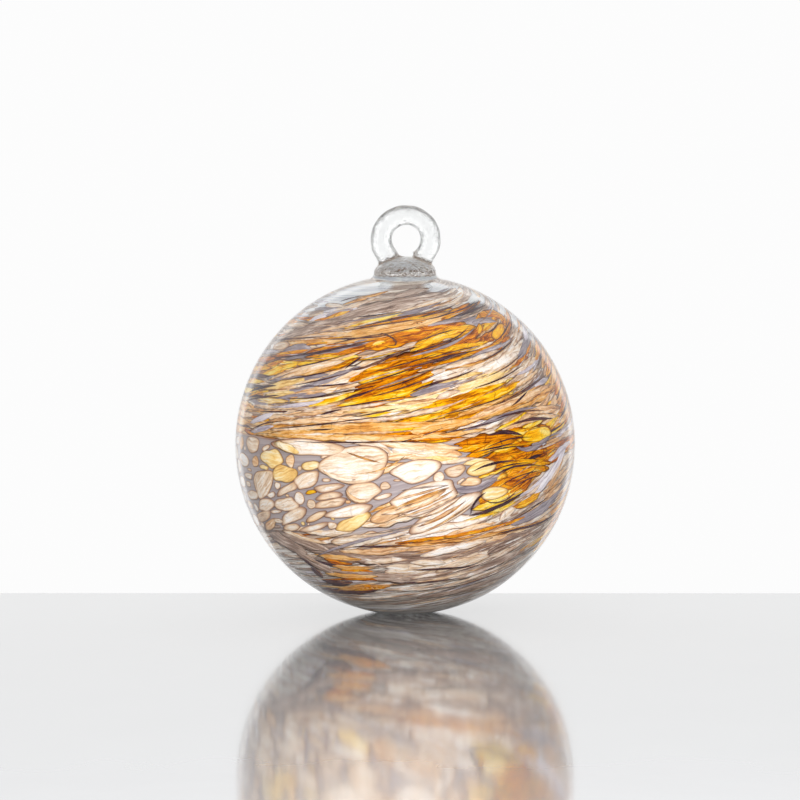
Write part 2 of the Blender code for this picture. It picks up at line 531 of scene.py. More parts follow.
# %% Lay the streaks under the crown
CROWN_STREAKS = [
    ("taupe", 1.9, (-31, 32.2), (-21, 36), (-12, 38.6), (0, 42)),
    ("lilac", 2.4, (-28.8, 36.2), (-25, 38.2), (-20, 40.2)),
    ("ivory", 1.6, (-28.5, 38), (-17, 40.6), (-7, 44.3)),
    ("honey", 1.3, (-18.4, 41.4), (-13.3, 43), (-5, 45.4)),
    ("smoke", 1.2, (-26, 37.6), (-19.5, 39.6), (-12, 41.8)),
    ("amber", 1.5, (-24.5, 37), (-19.5, 38.7), (-15.5, 40.2)),
    ("ivory", 1.0, (-31, 33.8), (-16.5, 37), (-0.5, 41.6)),
    ("peach", 0.9, (-30, 32.6), (-14, 36.4), (0, 40.6)),
    ("taupe", 2.4, (-3, 43.9), (2, 45.2), (7, 46.2)),
    ("taupe", 1.6, (-3, 42.4), (4, 43.9), (11, 45)),
    ("ivory", 1.3, (1.5, 40.2), (7, 42.2), (15.5, 43.6)),
    ("peach", 1.2, (-2, 39), (5, 41), (12, 43)),
    ("smoke", 1.4, (-3, 38.3), (4, 39.8), (10.5, 42.2)),
    ("peach", 1.2, (-21.5, 32.6), (-5.5, 38), (0, 40.2)),
    ("gold", 1.5, (-18, 34.4), (-8.5, 37.2), (0, 39.4)),
    ("amber", 1.6, (-19, 33.4), (-7, 36), (5, 38.4), (14, 40.4)),
    ("honey", 1.6, (-23, 32.2), (-7, 35), (5, 37.2), (13, 39.4)),
    ("amber", 2.0, (9.5, 37), (16, 39.8), (19, 41.9)),
    ("gold", 1.2, (-3, 36.9), (4, 37.6), (12, 39)),
    ("honey", 2.6, (-34, 30.4), (-25, 31), (-13, 31.6), (-2, 33.6)),
    ("peach", 1.1, (-35, 31.4), (-20, 33.2), (-6, 34.4)),
    ("taupe", 1.0, (-33, 31.7), (-20, 32.4), (-8, 33.4)),
    ("amber", 1.3, (-30, 29.4), (-23, 30.6), (-15, 31.5), (-8, 32)),
    ("amber", 2.0, (-24.5, 28), (-20, 28.8), (-13, 30.2)),
    ("smoke", 1.4, (-16, 30), (-12.4, 31.2), (-9, 31.6)),
    ("smoke", 1.2, (5, 35), (12.5, 36.4), (22, 37.8)),
    ("amber", 1.0, (-3, 35.1), (4, 36.1), (12.5, 37.6)),
]

# %% [markdown]
# ### The upper sweep
# Amber and gold run up from the left edge and curl over in a rounded lobe at the upper right.

# %% Lay the upper sweep
UPPER_SWEEP = [
    ("gold", 1.1, (-3, 33.4), (2, 33.8), (8.4, 34)),
    ("amber", 1.7, (-8, 30), (1.4, 31.7), (7, 32.4)),
    ("smoke", 1.7, (-36, 25), (-25, 27.4), (-15.5, 29.1), (-8, 31.6)),
    ("smoke", 2.2, (-36.4, 27.4), (-32, 28.8), (-28, 28.6)),
    ("gold", 1.6, (-10.5, 29.4), (-5.6, 30.8)),
    ("amber", 2.0, (-21.5, 26.4), (-16.5, 28), (-8.5, 29.4)),
    ("gold", 1.9, (-32.5, 23.8), (-23, 25.6), (-18, 26.2)),
    ("amber", 1.7, (-40, 26), (-35.5, 26.9), (-29, 28)),
    ("amber", 1.6, (-42.6, 23), (-36, 24.8)),
    ("gold", 2.2, (-43.6, 19.8), (-36.5, 22.6), (-31.5, 24)),
    ("umber", 0.6, (-40.6, 21.4), (-34, 23.4), (-28, 25.4)),
    ("peach", 1.2, (-40.5, 19), (-34, 21.6), (-27.5, 23.6), (-18, 26), (-13, 27.8)),
    ("honey", 1.6, (-33, 20.4), (-26, 21.8), (-20, 23.6)),
    ("peach", 1.9, (-37, 19.6), (-27.5, 22.6), (-18, 24.9)),
    ("amber", 1.7, (-26, 21.2), (-18, 23.8), (-13.5, 25.9)),
    ("straw", 2.2, (-42, 16.6), (-35.5, 18.1), (-29, 19.8)),
    ("smoke", 1.4, (-31, 19.4), (-22.5, 21)),
    ("amber", 2.6, (-15.5, 20.2), (-10, 22.2), (0, 25.2), (10, 28)),
    ("gold", 3.8, (1.5, 27.6), (5.8, 30.4), (12.3, 33.1), (21, 34.9)),
    ("amber", 2.2, (13.5, 29.6), (19.4, 32), (23.4, 35.4)),
    ("amber", 2.6, (21, 37.2), (25.1, 38.8), (28.7, 37.4), (29.4, 35)),
    ("smoke", 1.6, (20, 36), (23.5, 36.8), (27, 36.4)),
    ("gold", 1.8, (20.4, 32.4), (22, 34), (22, 36)),
    ("amber", 3.0, (22.6, 31), (26.6, 33), (28.2, 35.6)),
    ("amber", 1.8, (18, 29.6), (23, 31.4), (27, 34.4)),
    ("gold", 2.4, (2.5, 24.8), (9, 27), (14.6, 28.7), (20.7, 29.7), (26, 31.2)),
    ("amber", 1.5, (-3, 24.3), (4, 25.3), (10.6, 26.3), (19, 27.8)),
    ("ivory", 1.6, (-12.5, 25.4), (-4, 27.8), (1.2, 28.7)),
]

# %% [markdown]
# ### The middle sweep
# A second sweep starts grey and peach at the left and turns to gold and amber.

# %% Lay the middle sweep
MIDDLE_SWEEP = [
    ("smoke", 2.0, (-36.5, 15.6), (-31, 16.9), (-26, 17.8), (-21, 20.4), (-13, 23.3)),
    ("lilac", 1.2, (-31, 16), (-25, 17), (-19, 19.6)),
    ("gold", 2.9, (-14, 18.4), (-8.5, 20), (1, 21.8)),
    ("amber", 2.0, (-15, 16.8), (-6, 19), (5, 22.6)),
    ("peach", 1.4, (-25, 17.4), (-19.5, 19.1), (-15, 20.2)),
    ("peach", 1.2, (-34.5, 15.2), (-21, 17.5), (-14, 18.3)),
    ("straw", 1.8, (-41.6, 14.5), (-32, 15.7)),
    ("smoke", 1.1, (-38.5, 13.6), (-29, 15.3)),
    ("straw", 1.4, (-34, 12.6), (-24, 14), (-14, 16.8)),
    ("lilac", 1.4, (-40, 11), (-30, 12), (-22, 13.4)),
    ("gold", 1.6, (-29.5, 11), (-24.5, 12.4), (-13, 16)),
    ("amber", 2.3, (-11, 15.3), (-1, 17.8), (9.3, 21.7)),
    ("gold", 2.3, (-20.5, 11.3), (-15, 12.7), (-8.5, 13.7), (1.5, 16.2), (8.8, 19.3)),
    ("umber", 1.0, (-20, 12.9), (-15, 14.3), (-8, 16.8)),
    ("amber", 1.2, (6.5, 23.2), (12.3, 24.6), (17.3, 26.3), (23.4, 28.4), (29, 30.6)),
    ("smoke", 1.3, (19, 25.4), (24.1, 28), (29.1, 29.7), (32, 32)),
    ("ivory", 1.8, (11.5, 22.9), (17.3, 24.3), (22.4, 26), (28, 28)),
    ("honey", 0.9, (9.5, 21.4), (17.3, 23.3), (24.1, 25.3), (30, 28.8)),
    ("ivory", 1.5, (7.5, 21.2), (12.2, 22.4)),
]

# %% [markdown]
# ### The pale fan
# To the right of the sweeps, ivory, straw and gold open out like a fan.

# %% Lay the pale fan
PALE_FAN = [
    ("smoke", 2.2, (1.5, 14.7), (8.2, 16.5), (16, 18.9), (23.5, 20.5)),
    ("straw", 2.0, (9, 18.2), (16, 19.4), (24, 22.2)),
    ("ivory", 1.6, (8.6, 19.1), (14.6, 20.6), (19, 22.4)),
    ("ivory", 2.4, (21, 21.4), (25, 23), (29.6, 26), (32.7, 30)),
    ("ivory", 2.3, (23, 20.7), (27.5, 23.3), (31, 25.7), (34.6, 28)),
    ("taupe", 0.6, (22, 21.6), (29, 25.8), (34, 31)),
    ("peach", 1.6, (21, 18.6), (28, 21.6), (34, 26)),
    ("straw", 3.4, (15.5, 16.6), (22.4, 18.9), (29.5, 21.8)),
    ("ivory", 2.5, (27.7, 19), (32.5, 21.6), (37, 24.6), (39.5, 28)),
    ("lilac", 1.4, (33, 20.6), (37, 23), (40.6, 27)),
    ("peach", 1.0, (1.5, 13), (10.6, 16.2), (16.5, 18.4)),
    ("ivory", 1.9, (9.2, 13.6), (12.3, 14.8), (16.5, 16)),
    ("peach", 1.3, (-3, 12), (4, 12.8), (11, 13.9)),
    ("gold", 2.2, (1.5, 10.6), (14, 13.2), (20.7, 15.3), (30, 18.4)),
    ("gold", 2.0, (13, 11.2), (22, 14), (30, 17.4)),
]

# %% [markdown]
# ### The level band
# Just above the middle the tight turn of the twist drew everything nearly level.

# %% Lay the level band
LEVEL_BAND = [
    ("ivory", 1.2, (-37, 8.7), (-32.5, 10.4), (-26, 10.9)),
    ("ivory", 1.3, (-31, 9.7), (-26, 10.7), (-20.5, 11.3)),
    ("ivory", 1.1, (-27, 9.4), (-19.5, 10.5), (-10, 11.8), (0, 13.6)),
    ("straw", 1.9, (-18.5, 9.6), (-10, 10.4), (2, 11.2), (12, 12.7)),
    ("peach", 1.5, (-41, 6.6), (-35.5, 7.9), (-22, 9.6)),
    ("lilac", 1.9, (-46, 6.4), (-39, 9.2)),
    ("lilac", 1.6, (-45.6, 3.8), (-39, 5.5)),
    ("peach", 2.2, (-40, 6), (-30, 7), (-18, 7.4), (-6, 7.4)),
    ("honey", 3.0, (-41, 3), (-31, 3.9), (-18, 4.9), (0, 5.7), (9, 6.4)),
    ("honey", 2.4, (-44, 3.2), (-36, 2.5), (-19, 2), (0, 2.2), (9, 2.5), (18, 3.4), (24, 4.8)),
    ("peach", 1.8, (-40, 4.4), (-31, 4.8), (-20, 5)),
    ("peach", 1.3, (-39, 2.6), (-30, 2.9), (-19, 2.8)),
    ("peach", 0.8, (-24, 5.6), (-18, 6), (-12, 6.2)),
    ("peach", 0.7, (-22, 3.2), (-8, 3.6), (4, 4.2)),
    ("gold", 1.2, (-14, 4.5), (0, 4.7), (12, 5.6)),
    ("gold", 2.0, (-3, 6.2), (4, 7.6), (10.6, 8.8), (17, 10)),
    ("amber", 1.6, (-6, 3), (6, 3.6), (16, 5.6)),
    ("amber", 1.4, (-14, 1.4), (-3, 1.4), (8, 1.7), (19, 2.2)),
    ("ivory", 1.4, (-24.5, 7), (-9, 7.5), (2, 8.9), (10, 10.8), (19.5, 14.2)),
    ("honey", 3.0, (1, 3.4), (10.6, 5.4), (19, 7.6)),
    ("honey", 1.6, (8, 4.4), (16, 6), (24, 8.6)),
    ("peach", 2.8, (19, 7.4), (25.4, 10), (31.1, 12.4), (37.6, 14.9), (43, 18)),
    ("honey", 1.4, (22, 9.4), (30, 12.8), (38, 16.6), (42.6, 20)),
    ("gold", 1.2, (12, 6.6), (20, 8.8), (28, 11.8)),
    ("gold", 2.6, (10, 9.4), (16, 10.9), (25.8, 14.3), (29.1, 15.7), (35, 19.1)),
    ("straw", 1.0, (8, 8.4), (16, 10), (25, 12.6), (33, 16.4)),
    ("peach", 1.5, (28.5, 16), (34.2, 18.2), (39.8, 22.7)),
    ("lilac", 1.8, (36.5, 16.7), (42.5, 19.8)),
    ("smoke", 1.4, (31, 13.8), (37, 16.8), (41.4, 20.2)),
    ("honey", 1.6, (20, 7), (29, 10.2), (38, 13.6)),
    ("peach", 2.6, (36, 9.3), (42.6, 10.6), (46.2, 11)),
    ("peach", 1.8, (34, 6), (40, 8), (45.6, 8.6)),
    ("smoke", 1.3, (15, 3.4), (24.1, 6.4), (30.8, 9.1), (40, 11.2)),
    ("smoke", 2.2, (33.4, 25.4), (35.6, 29.4), (36.6, 33)),
    ("ivory", 1.2, (32, 29.2), (34, 32.6), (34.4, 36)),
    ("taupe", 1.9, (37, 25.4), (39, 27.8), (39.8, 30.4)),
]

# %% [markdown]
# ### Among the cells
# A few pale streaks wind between the large cells and round them.

# %% Lay streaks among the cells
AMONG_CELLS = [
    ("peach", 2.6, (-17, -11.8), (-7, -7.6), (1, -5.6)),
    ("honey", 1.0, (-14, -11), (-5, -7.8), (4, -4.6)),
    ("peach", 3.0, (-8.5, -4.4), (-1, -3), (6, -1.8)),
    ("peach", 2.8, (6, -1.4), (11, -2.4), (17, -3)),
    ("peach", 2.6, (-13.5, -22.8), (-6.6, -21.2), (1, -19.4)),
    ("honey", 1.4, (-11, -20.4), (-3, -17), (5, -13)),
    ("peach", 2.6, (-8, 0.6), (0, -0.2), (8, -0.8), (17, -1)),
    ("ivory", 2.8, (-4, -1.8), (4, -2.4), (12, -2.8)),
    ("straw", 2.0, (4, -3.8), (11, -4.2), (18, -4.6)),
    ("ivory", 1.8, (9, -5.4), (15, -4.8), (21, -3.8)),
    ("honey", 0.8, (-6, -0.6), (3, -1.2), (12, -1.8)),
    ("peach", 1.4, (-2, -3.6), (5, -4), (13, -3.6)),
    ("ivory", 2.0, (-18.4, 1.5), (-12, 0.6), (-6.5, -1), (-2.2, -4.4)),
]

# %% [markdown]
# ### Amber at the right
# To the right of the cells the deepest amber lies in broad tongues, edged with grey.

# %% Lay the amber at the right
RIGHT_AMBER = [
    ("amber", 2.2, (14.5, 0), (21, 1.2), (26.6, 2.2), (34, 2.4)),
    ("straw", 2.0, (17, -6), (22, -5), (27.4, -5.2)),
    ("amber", 3.0, (18.2, -3.6), (23.1, -1.9), (26.6, -0.3), (32.5, 1)),
    ("amber", 2.8, (23.4, -5.2), (28.3, -4.4), (33.5, -3.4), (38.6, -1.4)),
    ("gold", 2.2, (26.5, -2.2), (33.5, -0.2)),
    ("gold", 2.2, (31, 3), (37, 4), (43, 4.6)),
    ("gold", 2.8, (28, -6.9), (36, -5.6), (43.4, -5.4)),
    ("amber", 3.2, (27.3, -10.4), (31.8, -8.2), (37, -7.4), (42.6, -7)),
    ("amber", 3.2, (29.5, -11.6), (35.2, -9.8), (39.5, -8.4)),
    ("smoke", 2.6, (14.6, -13.6), (20, -13.2), (27.4, -10)),
    ("amber", 3.0, (28, -15.8), (33.5, -13.4), (37.6, -9.8)),
    ("gold", 3.2, (20, -19.4), (24.8, -17.9), (30.5, -15.6), (35.6, -12.6)),
    ("gold", 1.2, (15.2, -23.6), (22.7, -21.4), (28, -19.9)),
    ("gold", 2.2, (31.8, -18.8), (37, -16.6), (40, -13.9)),
    ("smoke", 2.6, (31.4, -23.7), (37, -21.4), (41.5, -18.3), (45.8, -13.4)),
    ("peach", 1.0, (34, -22.6), (39.4, -19.6), (44.4, -14.6)),
    ("lilac", 1.9, (38, -15.2), (42.2, -10.3), (45.6, -4.8), (47.4, -0.9)),
    ("peach", 1.2, (41, -15), (44.4, -9.6), (46.8, -3)),
    ("ivory", 1.1, (43, -10.6), (46.4, -5.2)),
    ("ivory", 2.5, (28, -22.7), (30.4, -20.5), (32.8, -18.8)),
]

# %% [markdown]
# ### The lower sweep
# Below the cells ivory and taupe run round the ball in long clean curves.

# %% Lay the lower sweep
LOWER_SWEEP = [
    ("ivory", 2.2, (1, -28), (10.9, -24.9), (17.9, -23.5), (25.4, -21.2)),
    ("peach", 1.7, (12, -27.2), (21.3, -24.4), (29, -23)),
    ("amber", 1.2, (-3, -29.2), (7.5, -28.2), (13.7, -27), (26.6, -24.6), (38, -20.6), (45, -17)),
    ("honey", 1.4, (-6, -30.4), (7.5, -29.6), (17.9, -27.6), (28.3, -26), (35.2, -24.6), (42.6, -21.4)),
    ("peach", 1.2, (0, -31.6), (12, -30.2), (26, -27.6)),
    ("ivory", 1.0, (31.5, -24.7), (38.7, -22.1), (43.9, -18.3), (46, -16)),
    ("ivory", 2.6, (4.6, -33.2), (10.9, -31.6), (17.9, -29.9), (24, -28.7)),
    ("taupe", 3.2, (24.5, -32.3), (30, -29), (35.2, -27), (41, -24)),
    ("ivory", 0.9, (29, -31), (34, -28.6), (40, -25.4)),
    ("ivory", 2.8, (9, -37.9), (16.5, -35.2), (25.2, -33)),
    ("ivory", 1.9, (1.5, -35), (12, -35.2)),
    ("taupe", 1.7, (3.5, -45.4), (14.4, -43.6), (24.8, -40.5), (32, -37.2)),
    ("ivory", 0.9, (1.5, -42), (10.9, -40.5), (21.3, -38), (28.6, -34.8)),
    ("ivory", 0.9, (4, -43.4), (14.4, -41.2), (24.8, -37.6), (35.2, -33)),
    ("peach", 0.8, (-2, -41.4), (12, -39.4), (24, -36)),
    ("ivory", 0.8, (8, -44.8), (20, -42.4), (30, -38.8)),
    ("ivory", 1.0, (1.5, -39.8), (7.5, -38.8), (14, -38.2)),
]

# %% [markdown]
# ### Near the base
# At the lower left taupe, honey and umber mix in short dark streaks. The umber there is partly painted
# shade, where the underside of the ball turns away from the light.

# %% Lay the streaks near the base
BASE_STREAKS = [
    ("taupe", 3.4, (-40, -26.6), (-34.4, -29.5), (-29, -32)),
    ("taupe", 2.4, (-37, -26), (-30, -29), (-22, -31.6)),
    ("peach", 1.8, (-35, -24.6), (-29, -25.4), (-22, -26.6)),
    ("peach", 1.4, (-36.4, -25.4), (-30, -27.6), (-23, -29.4)),
    ("ivory", 2.2, (-27, -26.4), (-21.2, -26.2), (-15, -25.4)),
    ("gold", 1.0, (-29, -26.2), (-26, -26), (-23.6, -25.8)),
    ("ivory", 1.8, (-19, -30.8), (-11.8, -29), (-4.9, -27.3), (1, -26.2)),
    ("peach", 2.1, (-19.5, -31.6), (-8.4, -31.8), (1, -31.2)),
    ("ivory", 1.6, (-12, -35), (1, -34)),
    ("taupe", 2.6, (-33, -31), (-27, -35), (-21, -38)),
    ("umber", 1.3, (-30.6, -33.2), (-28.6, -35), (-27, -36.2)),
    ("umber", 1.6, (-27.8, -36.2), (-25.8, -38), (-24.4, -39.4)),
    ("umber", 0.7, (-31.6, -33.4), (-26, -35.6), (-22.6, -37.4)),
    ("honey", 1.6, (-27, -32.4), (-20, -33.6), (-13, -34)),
    ("amber", 1.4, (-24, -33.8), (-19.6, -35), (-15.6, -35.4)),
    ("umber", 0.8, (-26.6, -34.2), (-22, -35.6), (-17.6, -36.4)),
    ("honey", 1.3, (-22.4, -35.6), (-16, -36.6), (-9, -36.4)),
    ("amber", 1.2, (-19.6, -37.4), (-14.6, -37.2), (-9.6, -37.6)),
    ("taupe", 1.0, (-24, -36.6), (-16, -38), (-6, -37.6)),
    ("ivory", 0.7, (-15, -33.2), (-10, -34.6), (-6, -36.6)),
    ("honey", 1.6, (-23.6, -38), (-16, -39), (-8, -39)),
    ("umber", 1.6, (-24.6, -39.9), (-20, -41), (-15.5, -40.6)),
    ("amber", 1.2, (-19, -40), (-14.4, -39.6), (-8.4, -40.2)),
    ("honey", 1.8, (-20, -42.8), (-13, -42.6), (-4.4, -41.8)),
    ("umber", 1.8, (-24.6, -42.6), (-17, -43.5), (-8.4, -43)),
    ("amber", 1.8, (-17.4, -43.1), (-11.8, -42.6), (-5, -42)),
    ("ivory", 0.8, (-18.4, -45), (-8.4, -45.4), (1, -44.3)),
]

FRONT_STREAKS = BROAD_STREAKS + CROWN_STREAKS + UPPER_SWEEP + MIDDLE_SWEEP + PALE_FAN
FRONT_STREAKS += LEVEL_BAND + AMONG_CELLS + RIGHT_AMBER + LOWER_SWEEP + BASE_STREAKS
print(len(FRONT_STREAKS), "streaks to lay on the front")

# %% [markdown]
# ## The front's lines
# Over all of that run lines no wider than a pencil stroke: the dark rims of streaks seen edge on, and
# white veins where two streaks parted. They are rows of the same kind, kept apart because they lie on top,
# over the cells as well. Some short pale strokes are among them, where a streak laps over a cell.

# %% Draw the main lines
MAIN_LINES = [
    ("honey", 0.8, (-5, -19.5), (4, -16), (13, -12.6)),
    ("peach", 1.1, (-4, -21), (5, -18), (14, -14)),
    ("taupe", 0.5, (-2, -16.4), (6, -14), (13, -12)),
    ("honey", 0.7, (4, -24.4), (11, -21.4), (18, -16.6)),
    ("taupe", 0.5, (6, -25.4), (13, -22), (20, -17.4)),
    ("umber", 0.4, (-19.4, 42.1), (-16.6, 43), (-13, 43.9)),
    ("umber", 0.6, (3.5, 37.4), (10.6, 39.5), (15, 41.4)),
    ("umber", 0.7, (15.5, 37.7), (20, 39.5), (24, 41.3)),
    ("ivory", 0.5, (14.5, 36.4), (19, 37.8), (22.7, 39.5), (24.4, 40.7)),
    ("umber", 0.5, (-8, 32.2), (-3.6, 31.4), (-2.6, 30.2), (-5.2, 29.2)),
    ("umber", 0.7, (-16.5, 21.9), (-10.8, 23.2), (-5.4, 25.5), (4, 28.8)),
    ("umber", 0.6, (-17.8, 22.5), (-12.8, 26)),
    ("smoke", 0.8, (1.5, 26.1), (8.9, 28), (16, 31.1), (19.3, 33.1), (21, 35)),
    ("umber", 0.9, (1.5, 22.9), (10.6, 25.3), (19.6, 27.6)),
    ("umber", 0.6, (1.5, 15.4), (8.9, 18.2), (16, 20.3), (21, 22.5)),
    ("umber", 0.6, (-30, 25.8), (-20, 28.4), (-12, 29.6)),
    ("umber", 0.6, (-25, 8.8), (-18.8, 10.5)),
    ("umber", 0.4, (-46, 4), (-42, 6), (-37.5, 6.8)),
    ("umber", 0.35, (-40, 4.6), (-31, 5.3), (-18, 6.9), (0, 8.6)),
    ("umber", 0.35, (-33, 1), (-19, 0.6), (0, 0.8), (11, 0.5)),
    ("umber", 0.8, (25.6, 11.4), (30.8, 13.5), (37.6, 17.6), (41.6, 20.6)),
    ("umber", 0.9, (31, 5.6), (37, 7.4), (43.6, 7.6)),
    ("umber", 1.2, (24.4, 2.6), (29.1, 3.6), (34.6, 2.8)),
    ("umber", 0.4, (22, -3), (28, -1.2), (35, -0.6)),
    ("umber", 0.35, (25, -8.4), (31, -6), (37, -5.4)),
    ("umber", 0.35, (28, -12.4), (34, -9.2), (40.6, -7.6)),
    ("umber", 0.35, (31, -13.4), (36, -10.4), (40, -9)),
    ("umber", 0.35, (24, -1), (31, 1.6), (38, 2.2)),
    ("smoke", 1.5, (33, -0.7), (36.4, -1.4), (40.4, 0.6), (43, 2.6)),
    ("umber", 0.9, (36.4, -4.2), (40.6, -2.9)),
    ("umber", 0.7, (19.6, -8.2), (26, -5.6), (33, -4.8)),
    ("umber", 0.6, (26, -9.4), (33, -6.4), (40, -6.2)),
    ("umber", 1.0, (19, -20.9), (24.8, -19.5), (29.3, -17.5), (35, -14)),
    ("umber", 0.8, (24, -14.1), (21, -16.6), (19.4, -20.6)),
    ("umber", 0.4, (22.6, -15.8), (26, -17.2), (31, -15.6), (33, -13.4)),
    ("straw", 2.6, (-38.6, 0.4), (-35, -0.8), (-31.4, -2.4)),
    ("honey", 0.6, (-17.4, -2.2), (-13.8, -3.6), (-7.2, -5.4)),
    # These two peach strokes lie along the lower left edges of two cells, partly as painted shade there.
    ("peach", 1.3, (-24.4, -7.6), (-21, -9.6), (-14.6, -10.4)),
    ("peach", 1.5, (-17.4, -13.6), (-15.4, -16), (-10.6, -16.4)),
    ("peach", 1.6, (-7, -20.8), (3, -18.2), (12, -13.6)),
    ("honey", 0.8, (-4.6, -19), (5, -16.2), (13, -12.8)),
    ("peach", 1.1, (-2, -21.6), (8, -18.4), (16, -14.4)),
    ("peach", 0.8, (-4, -16.6), (4, -14.6), (11, -12.6)),
    ("peach", 0.9, (3, -24.6), (10, -21.4), (17, -17.4)),
    ("honey", 0.5, (-14, -8.6), (-5, -6.6), (0, -3.4)),
    ("honey", 0.4, (0, -20.4), (8, -17), (15, -13)),
    ("honey", 0.5, (3, -22), (11, -19.4), (17, -15)),
    ("honey", 0.4, (5, -26.2), (13, -22), (20, -17)),
    ("taupe", 0.5, (-2, -13.8), (6, -12.6), (13, -12)),
    ("umber", 0.6, (26.6, -26.6), (35.2, -24.5), (42.2, -21.8), (45, -19.2)),
    ("umber", 0.5, (-15.6, -30.1), (-8.4, -30.1), (1, -29.7)),
    ("smoke", 0.9, (-26, -32.9), (-18.8, -30.1), (-8.4, -27.3), (1, -25)),
    ("ivory", 0.4, (-31, -32.4), (-27.4, -34.2), (-24.6, -35.4)),
    ("ivory", 0.4, (-36.2, -33.8), (-32, -37), (-27.4, -38.8), (-24.6, -42)),
    ("umber", 0.5, (2, -37), (12, -36.6), (24, -35.4)),
]

# %% [markdown]
# ### Finer lines
# Finer lines fill the spaces between them, most of them umber and no wider than half a millimetre.

# %% Draw the finer lines
FINE_LINES = [
    ("umber", 0.4, (-14, 17.6), (-6, 19.8), (3, 22.8)),
    ("umber", 0.35, (-12, 20.8), (-2, 23.4), (10, 27)),
    ("umber", 0.4, (-10, 14.2), (0, 17), (10, 21)),
    ("umber", 0.35, (-9, 16), (0, 18.6), (8, 22)),
    ("umber", 0.5, (1, 26.4), (8, 28.8), (15, 31.6), (18.6, 34.6)),
    ("umber", 0.35, (3, 30), (9, 32.4), (15, 34)),
    ("umber", 0.35, (6, 25), (14, 27.4), (21, 29)),
    ("umber", 0.4, (-22, 29.6), (-14, 31.4), (-4, 33)),
    ("umber", 0.4, (-20, 33.2), (-8, 35.2), (4, 37)),
    ("umber", 0.35, (-16, 34.4), (-4, 36.8), (8, 39)),
    ("umber", 0.4, (-28, 27), (-18, 29), (-8, 31)),
    ("umber", 0.4, (-38, 25.4), (-30, 26.6), (-20, 27.8)),
    ("umber", 0.35, (-36, 22.2), (-26, 24.2), (-16, 27)),
    ("umber", 0.35, (-37, 18.8), (-28, 20.4), (-18, 23)),
    ("umber", 0.4, (-34, 17.4), (-26, 18.8), (-16, 21.6)),
    ("umber", 0.35, (-28, 13.8), (-18, 15.6), (-8, 17.6)),
    # The umber lines at the left edge are partly painted shade along that rim.
    ("umber", 0.7, (-46, 15.4), (-43, 16.6), (-38, 17.4)),
    ("umber", 0.6, (-46.6, 13), (-43, 13.8), (-37, 14.6)),
    ("gold", 0.9, (-46.2, 14.2), (-43.6, 15.2), (-39.6, 15.8)),
    ("umber", 0.8, (-41.6, 23.6), (-39.2, 24.7), (-35.6, 25.8)),
    ("umber", 0.35, (-22, 10.6), (-12, 12.2), (0, 14.2)),
    ("umber", 0.4, (20, 16.6), (28, 19.4), (35, 23.6)),
    ("umber", 0.35, (12, 9), (22, 11.6), (31, 15)),
    ("umber", 0.4, (22, 24.4), (28, 27.6), (32.6, 31.6)),
    ("umber", 0.35, (24, 20), (30, 23), (35, 27.4)),
    ("umber", 0.5, (27, 7.6), (34, 9.6), (41, 10)),
    ("umber", 0.4, (10, 3), (20, 5.2), (29, 7.4)),
    ("umber", 0.4, (24, 33), (27, 35), (27.6, 37)),
    ("taupe", 0.5, (-12, -26.6), (0, -24.4), (10, -21.4)),
    ("umber", 0.4, (8, -38.8), (18, -36.6), (28, -33)),
    ("umber", 0.4, (-6, -40.6), (6, -40.6), (18, -39)),
    ("umber", 0.35, (10, -42.6), (20, -40.4), (30, -36.4)),
    ("ivory", 0.4, (12, -42), (22, -39.6), (32, -35)),
    ("ivory", 0.4, (14, -44.4), (24, -41.4), (32, -37.6)),
    ("ivory", 0.5, (20, -36.4), (30, -31.8), (38, -26.6)),
    ("ivory", 0.4, (22, -37.6), (31, -33.4), (38.6, -28)),
    ("ivory", 0.5, (26, -30.6), (34, -27.4), (41, -23.4)),
    ("ivory", 0.4, (4, -39.4), (14, -37.6), (26, -33.6)),
    ("ivory", 0.5, (-8, -42.6), (4, -42.8), (16, -41.2)),
    ("ivory", 0.4, (28, -35.6), (34, -31.8), (40, -27)),
]
print(len(MAIN_LINES) + len(FINE_LINES), "lines to draw on the front")

# %% [markdown]
# ## A streak's form
# A streak's points, as seen, become one smooth line laid on the ball. Its width tapers to both ends, more
# sharply in a hairline, and its two edges will waver on their own. A streak that runs round the ball's
# edge looks narrower than it is, so we divide the seen width by how much its own crosswise direction is
# foreshortened.

# %% Turn a row into a streak
STATION_GAP = 1.2
STATIONS = (7, 44)
MOST_BENDS = 3
LEAST_WIDTH_SEEN = 0.6
TAPER_SPAN = (0.015, 0.985)
HAIRLINE_WIDTH = 1.5
HAIRLINE_TAPER = 0.8
STREAK_TAPER = 0.55
TAPER_LEAN = (0.8, 1.25)


def new_streak(kind, path, widths, lift):
    """A streak: places along its middle line, its full width at each, and its lift over the ground."""
    share = np.linspace(*TAPER_SPAN, len(path)) ** rng.uniform(*TAPER_LEAN)
    taper = HAIRLINE_TAPER if widths.max() < HAIRLINE_WIDTH else STREAK_TAPER
    return {
        "kind": kind,
        "path": path,
        "widths": widths * np.sin(math.pi * share) ** taper,
        "lift": lift,
        **own_look(),
        "waver": rng.uniform(0, 2 * math.pi, 4),
    }


# %% [markdown]
# ## Laying the rows on the ball
# The listed streaks lie low, one over the other in the order of their rows. The lines lie over the cells.

# %% Lay the streaks and lines
def run_along(points):
    """How far along its line each of these points lies."""
    return np.concatenate([[0], np.cumsum(np.linalg.norm(np.diff(points, axis=0), axis=1))])


def along_path(path):
    """The direction in which a line runs at each of its points."""
    along = np.gradient(path, axis=0)
    return along / np.linalg.norm(along, axis=1, keepdims=True)


